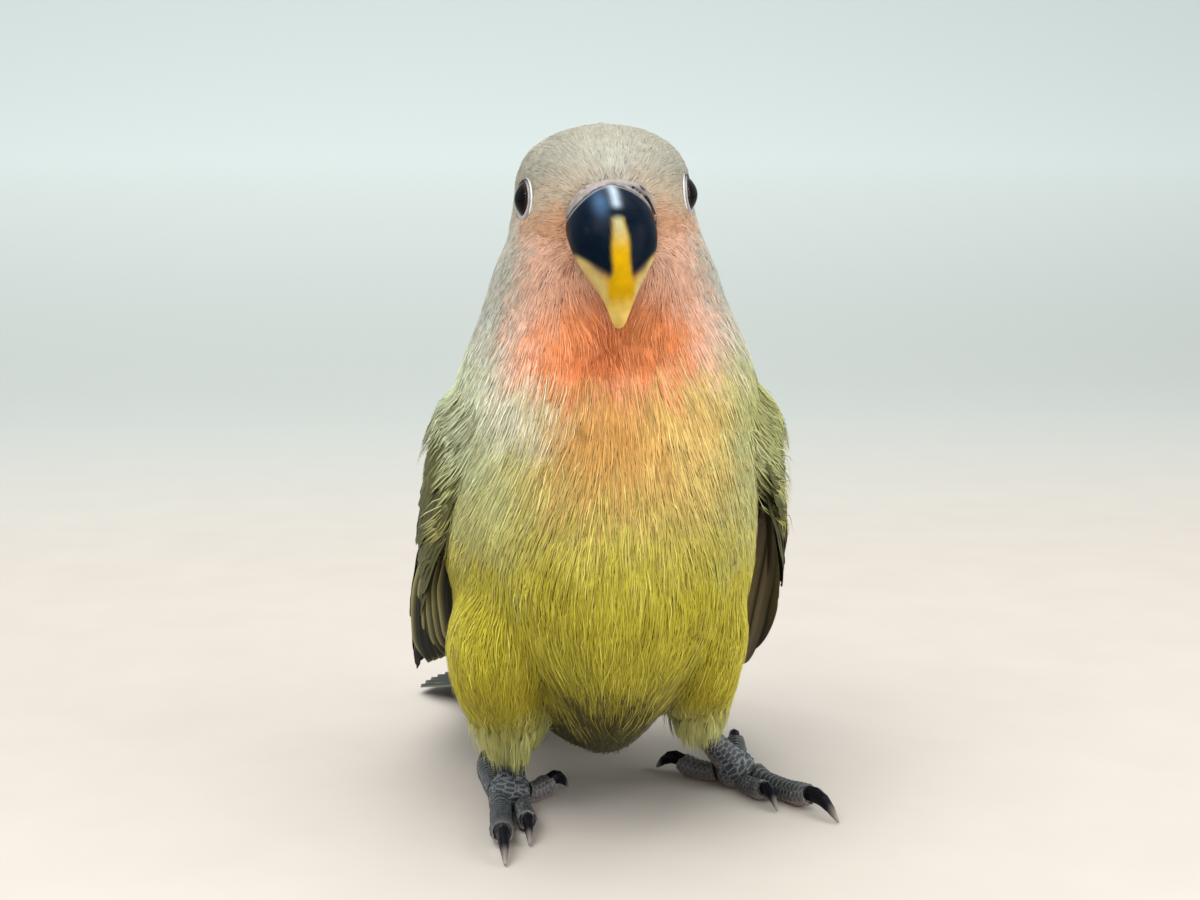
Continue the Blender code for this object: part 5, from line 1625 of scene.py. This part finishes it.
def makeEyes():
    form = eyeForm
    ball, tree, shader = newMaterial("eyeball", 0.05)
    shader.inputs["IOR"].default_value = 1.16
    tint = node(tree, "Attribute", attribute_name="iris")
    tree.links.new(tint.outputs["Color"], shader.inputs["Base Color"])
    lidMaterial, tree, shader = newMaterial("lidSkin", 0.6, specular=0.3)
    beads = textured(tree, "TexVoronoi", Scale=4200.0)
    paintedBy(tree, shader, "lid", ramp(tree, beads.outputs["Distance"], [(0.1, 1.0), (0.7, 0.78)]))
    bumped(tree, shader, beads.outputs["Distance"], 0.5, 0.00007)
    depth = math.sqrt(form["radius"] ** 2 - form["opening"] ** 2)
    for side, sign in sides.items():
        opening, outward = eyePlace(bodyTree, sign)
        title = side.capitalize()
        bpy.ops.object.select_all(action="DESELECT")
        bpy.ops.mesh.primitive_uv_sphere_add(segments=64, ring_count=48, radius=form["radius"])
        eye = bpy.context.object
        eye.name = "eyeball" + title
        points = pointsOf(eye)
        away = np.hypot(points[:, 0], points[:, 1]) / form["radius"]
        front = points[:, 2] > 0
        inPupil = 1 - smoothStep(away, form["pupil"] - 0.03, form["pupil"])
        tints = lerpColour(plain(points, form["irisColour"]), form["pupilColour"], inPupil)
        tints = lerpColour(tints, form["white"], np.where(front, smoothStep(away, 0.84, 0.9), 1.0))
        points[:, 2] += np.where(front, form["bulge"] * bump(away, 0, 0.55), 0.0)
        movePoints(eye, points)
        addColour(eye, "iris", tints)
        placeOnEye(eye, opening, outward, -depth)
        eye.data.shade_smooth()
        settle(eye, ball, (f"eye_{side}",))
        makeLids(title, opening, outward, lidMaterial)
    print("eyes")


# An inner grey lid and an outer pale ring, thicker below and in front
def makeLids(title, opening, outward, material):
    toLid = outward.to_track_quat("Z", "Y").to_matrix().transposed()
    down, ahead = np.array(toLid @ Vector((0, 0, -1))), np.array(toLid @ Vector((0, -1, 0)))
    for name, form in lidForms.items():
        radius = eyeForm["opening"] + form["out"]
        bpy.ops.object.select_all(action="DESELECT")
        bpy.ops.mesh.primitive_torus_add(
            major_segments=96, minor_segments=20, major_radius=radius, minor_radius=form["thick"]
        )
        lid = bpy.context.object
        lid.name = name + title
        points = pointsOf(lid)
        spoke = unit(points * (1, 1, 0))
        low, front = spoke @ down, spoke @ ahead
        centre = spoke * radius
        bulk = 1 + lidBulk["below"] * smoothStep(low, 0.1, 1.0)
        bulk = bulk + lidBulk["ahead"] * smoothStep(front, 0, 1)
        turn = np.arctan2(points[:, 1], points[:, 0])
        bulk = bulk * (1 + lidBulk["relief"] * np.sin(turn * lidBulk["scales"]))
        points = centre + (points - centre) * bulk[:, None]
        points[:, 2] *= lidBulk["flat"]
        lowered = smoothStep(np.maximum(low, front * lidBulk["aheadPale"]), 0.05, 0.5)
        movePoints(lid, points)
        addColour(lid, "lid", lerpColour(plain(points, form["upper"]), form["lower"], lowered))
        placeOnEye(lid, opening, outward, form["lift"])
        lid.data.shade_smooth()
        settle(lid, material)


# Feet: the solids' own toes and shanks made fine, with scutes on top and round scales beneath
footForm = {
    "voxel": 0.14, "smoothing": 6, "scute": 0.86, "cell": 0.74, "crack": 0.10, "dome": 0.34, "relief": 0.10,
    "across": 1.5, "bow": 0.12, "topHalf": (0.75, 0.95), "scuteTones": (0.8, 1.25),
    "cellTones": (0.75, 1.3), "uneven": 0.11, "grounded": 0.12, "seed": 11, "hubHeight": 2.5,
    "rootHeight": 1.5, "endHeight": 1.6, "hindPale": 0.55, "frontPale": 0.05, "tipPale": 0.4,
    "claw": {"voxel": 0.085, "smoothing": 5},
    "hubs": {"right": (-12.6, 3.6), "left": (19.3, 9.2)},
    "roots": {
        "right": {"1": (-10.6, 5.0), "2": (-11.2, 2.0), "3": (-13.9, 2.0), "4": (-14.0, 5.4)},
        "left": {"1": (17.2, 10.6), "2": (19.6, 7.4), "3": (21.7, 7.9), "4": (20.0, 11.2)},
    },
    "ends": {
        "right": {"1": (-6.7, 8.1), "2": (-10.9, -6.4), "3": (-14.5, -11.2), "4": (-15.0, 16.6)},
        "left": {"1": (12.5, 14.4), "2": (21.9, 1.6), "3": (27.2, -2.2), "4": (21.9, 22.0)},
    },
}
footColours = {
    "scale": (0.016, 0.020, 0.023), "crack": (0.16, 0.17, 0.17), "pale": (0.15, 0.13, 0.12),
    "sole": (0.24, 0.17, 0.155), "cuticle": (0.34, 0.30, 0.285),
    "claw": (0.006, 0.006, 0.008), "clawTip": (0.20, 0.17, 0.15),
}


# (distance to the crack between cells, a random tone of the cell) for points on a flat map
def cells(points2d, size, random):
    low, high = points2d.min(0) - 2 * size, points2d.max(0) + 2 * size
    rowShare = 0.866  # rows of a honeycomb lie closer than its columns
    columns, rows = np.ceil((high - low) / (size * np.array((1.0, rowShare)))).astype(int)
    i, j = np.meshgrid(np.arange(columns), np.arange(rows), indexing="ij")
    centres = np.stack([low[0] + (i + 0.5 * (j % 2)) * size, low[1] + j * size * rowShare], -1)
    centres = centres.reshape(-1, 2)
    centres = centres + random.normal(0, size * footForm["uneven"], centres.shape)
    tones = random.uniform(*footForm["cellTones"], len(centres))
    tree = searchTree(np.column_stack([centres, np.zeros(len(centres))]))
    gap, tone = np.empty(len(points2d)), np.empty(len(points2d))
    for k, point in enumerate(points2d):
        (_, first, near), (_, _, far) = tree.find_n((*point, 0), 2)
        gap[k] = (far - near) / 2
        tone[k] = tones[first]
    return gap, tone


# Raises the scales of one toe or shank and paints them. start and end are its axis on the floor plan
def scaled(piece, start, end, pale, hasScutes, isToe, random):
    form = footForm
    points, normals = pointsOf(piece), normalsOf(piece)
    local = points / mm
    axis = end - start
    length = np.linalg.norm(axis)
    axis = axis / length
    across = np.cross(axis, (0, 0, 1.0))
    across = across / np.linalg.norm(across)
    upward = np.cross(across, axis)
    s = (local - start) @ axis
    turn = np.arctan2(normals @ across, normals @ upward)
    gap, tone = cells(np.stack([s, turn * form["across"]], 1), form["cell"], random)
    if hasScutes:
        band = s / form["scute"] + form["bow"] * np.cos(turn * 2)
        within = np.abs(band - np.round(band)) * form["scute"]
        onTop = 1 - smoothStep(np.abs(turn), *form["topHalf"])
        bands = random.uniform(*form["scuteTones"], 60)
        number = np.floor(band).astype(int) % len(bands)
        gap = np.where(onTop > 0.5, within, gap)
        tone = np.where(onTop > 0.5, bands[number], tone)
    crack = 1 - smoothStep(gap, 0.0, form["crack"])
    dome = smoothStep(gap, 0.0, form["dome"])
    lift = form["relief"] * (dome - 1.0)
    soleShare = smoothStep(-(normals @ np.array((0, 0, 1.0))), 0.1, 0.7)
    flat = local[:, 2] < form["grounded"]
    movePoints(piece, points + normals * (lift * np.where(flat, 0, 1))[:, None] * mm)
    tipPale = (form["tipPale"] if isToe else 0.0) * smoothStep(s, length * 0.72, length)
    paleShare = np.clip(pale + tipPale, 0, 1) * (1 - 0.35 * dome)
    atClaw = smoothStep(s, length - 0.15, length + 0.45) * (0.9 if isToe else 0.0)
    colour = plain(points, footColours["scale"]) * tone[:, None]
    layers = {"crack": crack * 0.9, "pale": paleShare * 0.75, "sole": soleShare * 0.8, "cuticle": atClaw}
    for name, share in layers.items():
        colour = lerpColour(colour, footColours[name], share)
    addColour(piece, "scales", np.clip(colour, 0.002, 1))


def scaleMaterial():
    material, tree, shader = newMaterial("scaledSkin", 0.5, specular=0.4)
    grain = textured(tree, "TexNoise", Scale=2600.0, Detail=3.0)
    paintedBy(tree, shader, "scales", ramp(tree, grain.outputs["Fac"], [(0.3, 0.78), (0.7, 1.15)]))
    rough = ramp(tree, grain.outputs["Fac"], [(0.3, 0.42), (0.7, 0.62)])
    tree.links.new(rough, shader.inputs["Roughness"])
    bumped(tree, shader, grain.outputs["Fac"], 0.3, 0.00005)
    return material


def makeFeet(clawMaterial):
    random = np.random.default_rng(footForm["seed"])
    material = scaleMaterial()
    shift = np.array(stance["originShift"])
    for side in sides:
        title = side.capitalize()
        hub = np.array((*footForm["hubs"][side], footForm["hubHeight"])) - shift
        shank = nodeCopy(f"tarsus_{side}", "shank" + title)
        refine(shank, footForm)
        top = pointsOf(shank) / mm
        ankle = top[top[:, 2] > top[:, 2].max() - 0.5].mean(0)
        scaled(shank, ankle, hub, 0.0, False, False, random)
        settle(shank, material, (f"tarsus_{side}",))
        for digit in "1234":
            start = np.array((*footForm["roots"][side][digit], footForm["rootHeight"])) - shift
            end = np.array((*footForm["ends"][side][digit], footForm["endHeight"])) - shift
            toe = nodeCopy(f"toe_{digit}_{side}", f"toe{digit}{title}")
            refine(toe, footForm)
            pale = footForm["hindPale" if digit == "1" else "frontPale"]
            scaled(toe, start, end, pale, digit in "34", True, random)
            settle(toe, material, (f"toe_{digit}_{side}",))
            makeClaw(side, digit, end, clawMaterial)
    print("feet")


def refine(piece, form):
    applied(piece, "REMESH", mode="VOXEL", voxel_size=form["voxel"] * mm, adaptivity=0.0)
    applied(piece, "SMOOTH", factor=0.5, iterations=form["smoothing"])
    piece.data.shade_smooth()


def makeClaw(side, digit, end, material):
    claw = nodeCopy(f"claw_{digit}_{side}", f"claw{digit}{side.capitalize()}")
    refine(claw, footForm["claw"])
    points = pointsOf(claw) / mm
    away = np.linalg.norm((points - end)[:, :2], axis=1)
    reach = smoothStep(away, 0.66 * away.max(), 0.99 * away.max())
    addColour(claw, "horn", lerpColour(plain(points, footColours["claw"]), footColours["clawTip"], reach))
    settle(claw, material, (f"claw_{digit}_{side}",))


stiffFeathers = vaneMaterial()
makeWings(stiffFeathers)
makeFronts(stiffFeathers)
makeDrapes(stiffFeathers)
makeTail(stiffFeathers)
makeBill(hornMaterial("billHorn", 0.28, 900.0))
makeCere()
makeEyes()
makeFeet(hornMaterial("clawHorn", 0.2, 1500.0))


# Floor, light and camera
studioForm = {
    "size": 3.0, "wallHeight": 1.6, "bend": 1.1, "bendSteps": 24,
    "floor": ((0.365, 0.332, 0.295), (0.38, 0.345, 0.307)), "farFloor": (0.375, 0.395, 0.37),
    "wall": (0.55, 0.60, 0.575), "sky": (0.93, 0.97, 1.0, 1.0), "skyPower": 0.95, "aim": (0, 0, 0.04),
    "lights": {
        "window": {"place": (-0.32, -0.38, 0.60), "size": 0.45, "power": 5.4},
        "sparkleLeft": {"place": (-0.24, -0.08, 0.19), "size": 0.012, "power": 0.05},
        "sparkleRight": {"place": (0.24, -0.08, 0.19), "size": 0.012, "power": 0.03},
        "ceiling": {"place": (-0.02, 0.02, 0.75), "size": 0.8, "power": 6.0},
        "fill": {"place": (0.5, -0.35, 0.25), "size": 0.5, "power": 3.2},
    },
}
cameraForm = {
    "place": (-0.02999, -0.24127, 0.082), "down": 8.45, "turn": -7.0, "lens": 52.5, "sensor": 36.0,
}


# Selects the floor's far edge, or its fold where only the low one is wanted
def selectFarEdge(floor, below):
    bpy.ops.object.mode_set(mode="OBJECT")
    places = [v.co for v in floor.data.vertices]
    for edge in floor.data.edges:
        edge.select = all(places[v].y > 1.4 and places[v].z < below for v in edge.vertices)
    bpy.ops.object.mode_set(mode="EDIT")


def makeFloor():
    form = studioForm
    bpy.ops.object.select_all(action="DESELECT")
    bpy.ops.mesh.primitive_plane_add(size=form["size"], location=(0, 0, 0))
    floor = bpy.context.object
    floor.name = "studioFloor"
    bpy.ops.object.mode_set(mode="EDIT")
    bpy.ops.mesh.select_all(action="DESELECT")
    selectFarEdge(floor, 0.1)
    bpy.ops.mesh.select_mode(type="EDGE")
    bpy.ops.mesh.extrude_region_move(TRANSFORM_OT_translate={"value": (0, 0, form["wallHeight"])})
    selectFarEdge(floor, 0.1)
    bpy.ops.mesh.bevel(offset=form["bend"], segments=form["bendSteps"], affect="EDGES")
    bpy.ops.object.mode_set(mode="OBJECT")
    floor.data.shade_smooth()
    material, tree, shader = newMaterial("palePaper", 0.8, specular=0.2)
    grain = textured(tree, "TexNoise", Scale=60.0, Detail=3.0)
    shade = ramp(tree, grain.outputs["Fac"], [(0.3, form["floor"][0]), (0.7, form["floor"][1])])
    place = textured(tree, "SeparateXYZ")
    farShare = ramp(tree, place.outputs["Y"], [(0.14, 0.0), (0.40, 1.0)])
    wallShare = ramp(tree, place.outputs["Z"], [(0.0, 0.0), (0.10, 1.0)])
    wall = mixed(tree, wallShare, mixed(tree, farShare, shade, form["farFloor"]), form["wall"])
    tree.links.new(wall, shader.inputs["Base Color"])
    floor.data.materials.append(material)


def makeLights():
    form = studioForm
    world = bpy.context.scene.world or bpy.data.worlds.new("studioSky")
    bpy.context.scene.world = world
    world.use_nodes = True
    world.node_tree.nodes["Background"].inputs[0].default_value = form["sky"]
    world.node_tree.nodes["Background"].inputs[1].default_value = form["skyPower"]
    for name, light in form["lights"].items():
        lamp = bpy.data.lights.new(name, "AREA")
        lamp.shape = "SQUARE"
        lamp.size = light["size"]
        lamp.energy = light["power"]
        lampObject = bpy.data.objects.new(name, lamp)
        bpy.context.scene.collection.objects.link(lampObject)
        lampObject.location = light["place"]
        aim = Vector(form["aim"]) - Vector(light["place"])
        lampObject.rotation_euler = aim.to_track_quat("-Z", "Y").to_euler()
    bpy.context.scene.view_settings.view_transform = "Standard"


def makeCamera():
    form = cameraForm
    camera = bpy.data.objects.new("photoCamera", bpy.data.cameras.new("photoCamera"))
    bpy.context.scene.collection.objects.link(camera)
    camera.data.lens = form["lens"]
    camera.data.sensor_width = form["sensor"]
    camera.data.clip_start = 0.01
    camera.location = form["place"]
    camera.rotation_euler = (math.radians(90.0 - form["down"]), 0.0, math.radians(form["turn"]))
    bpy.context.scene.camera = camera


makeFloor()
makeLights()
makeCamera()
print("studio")
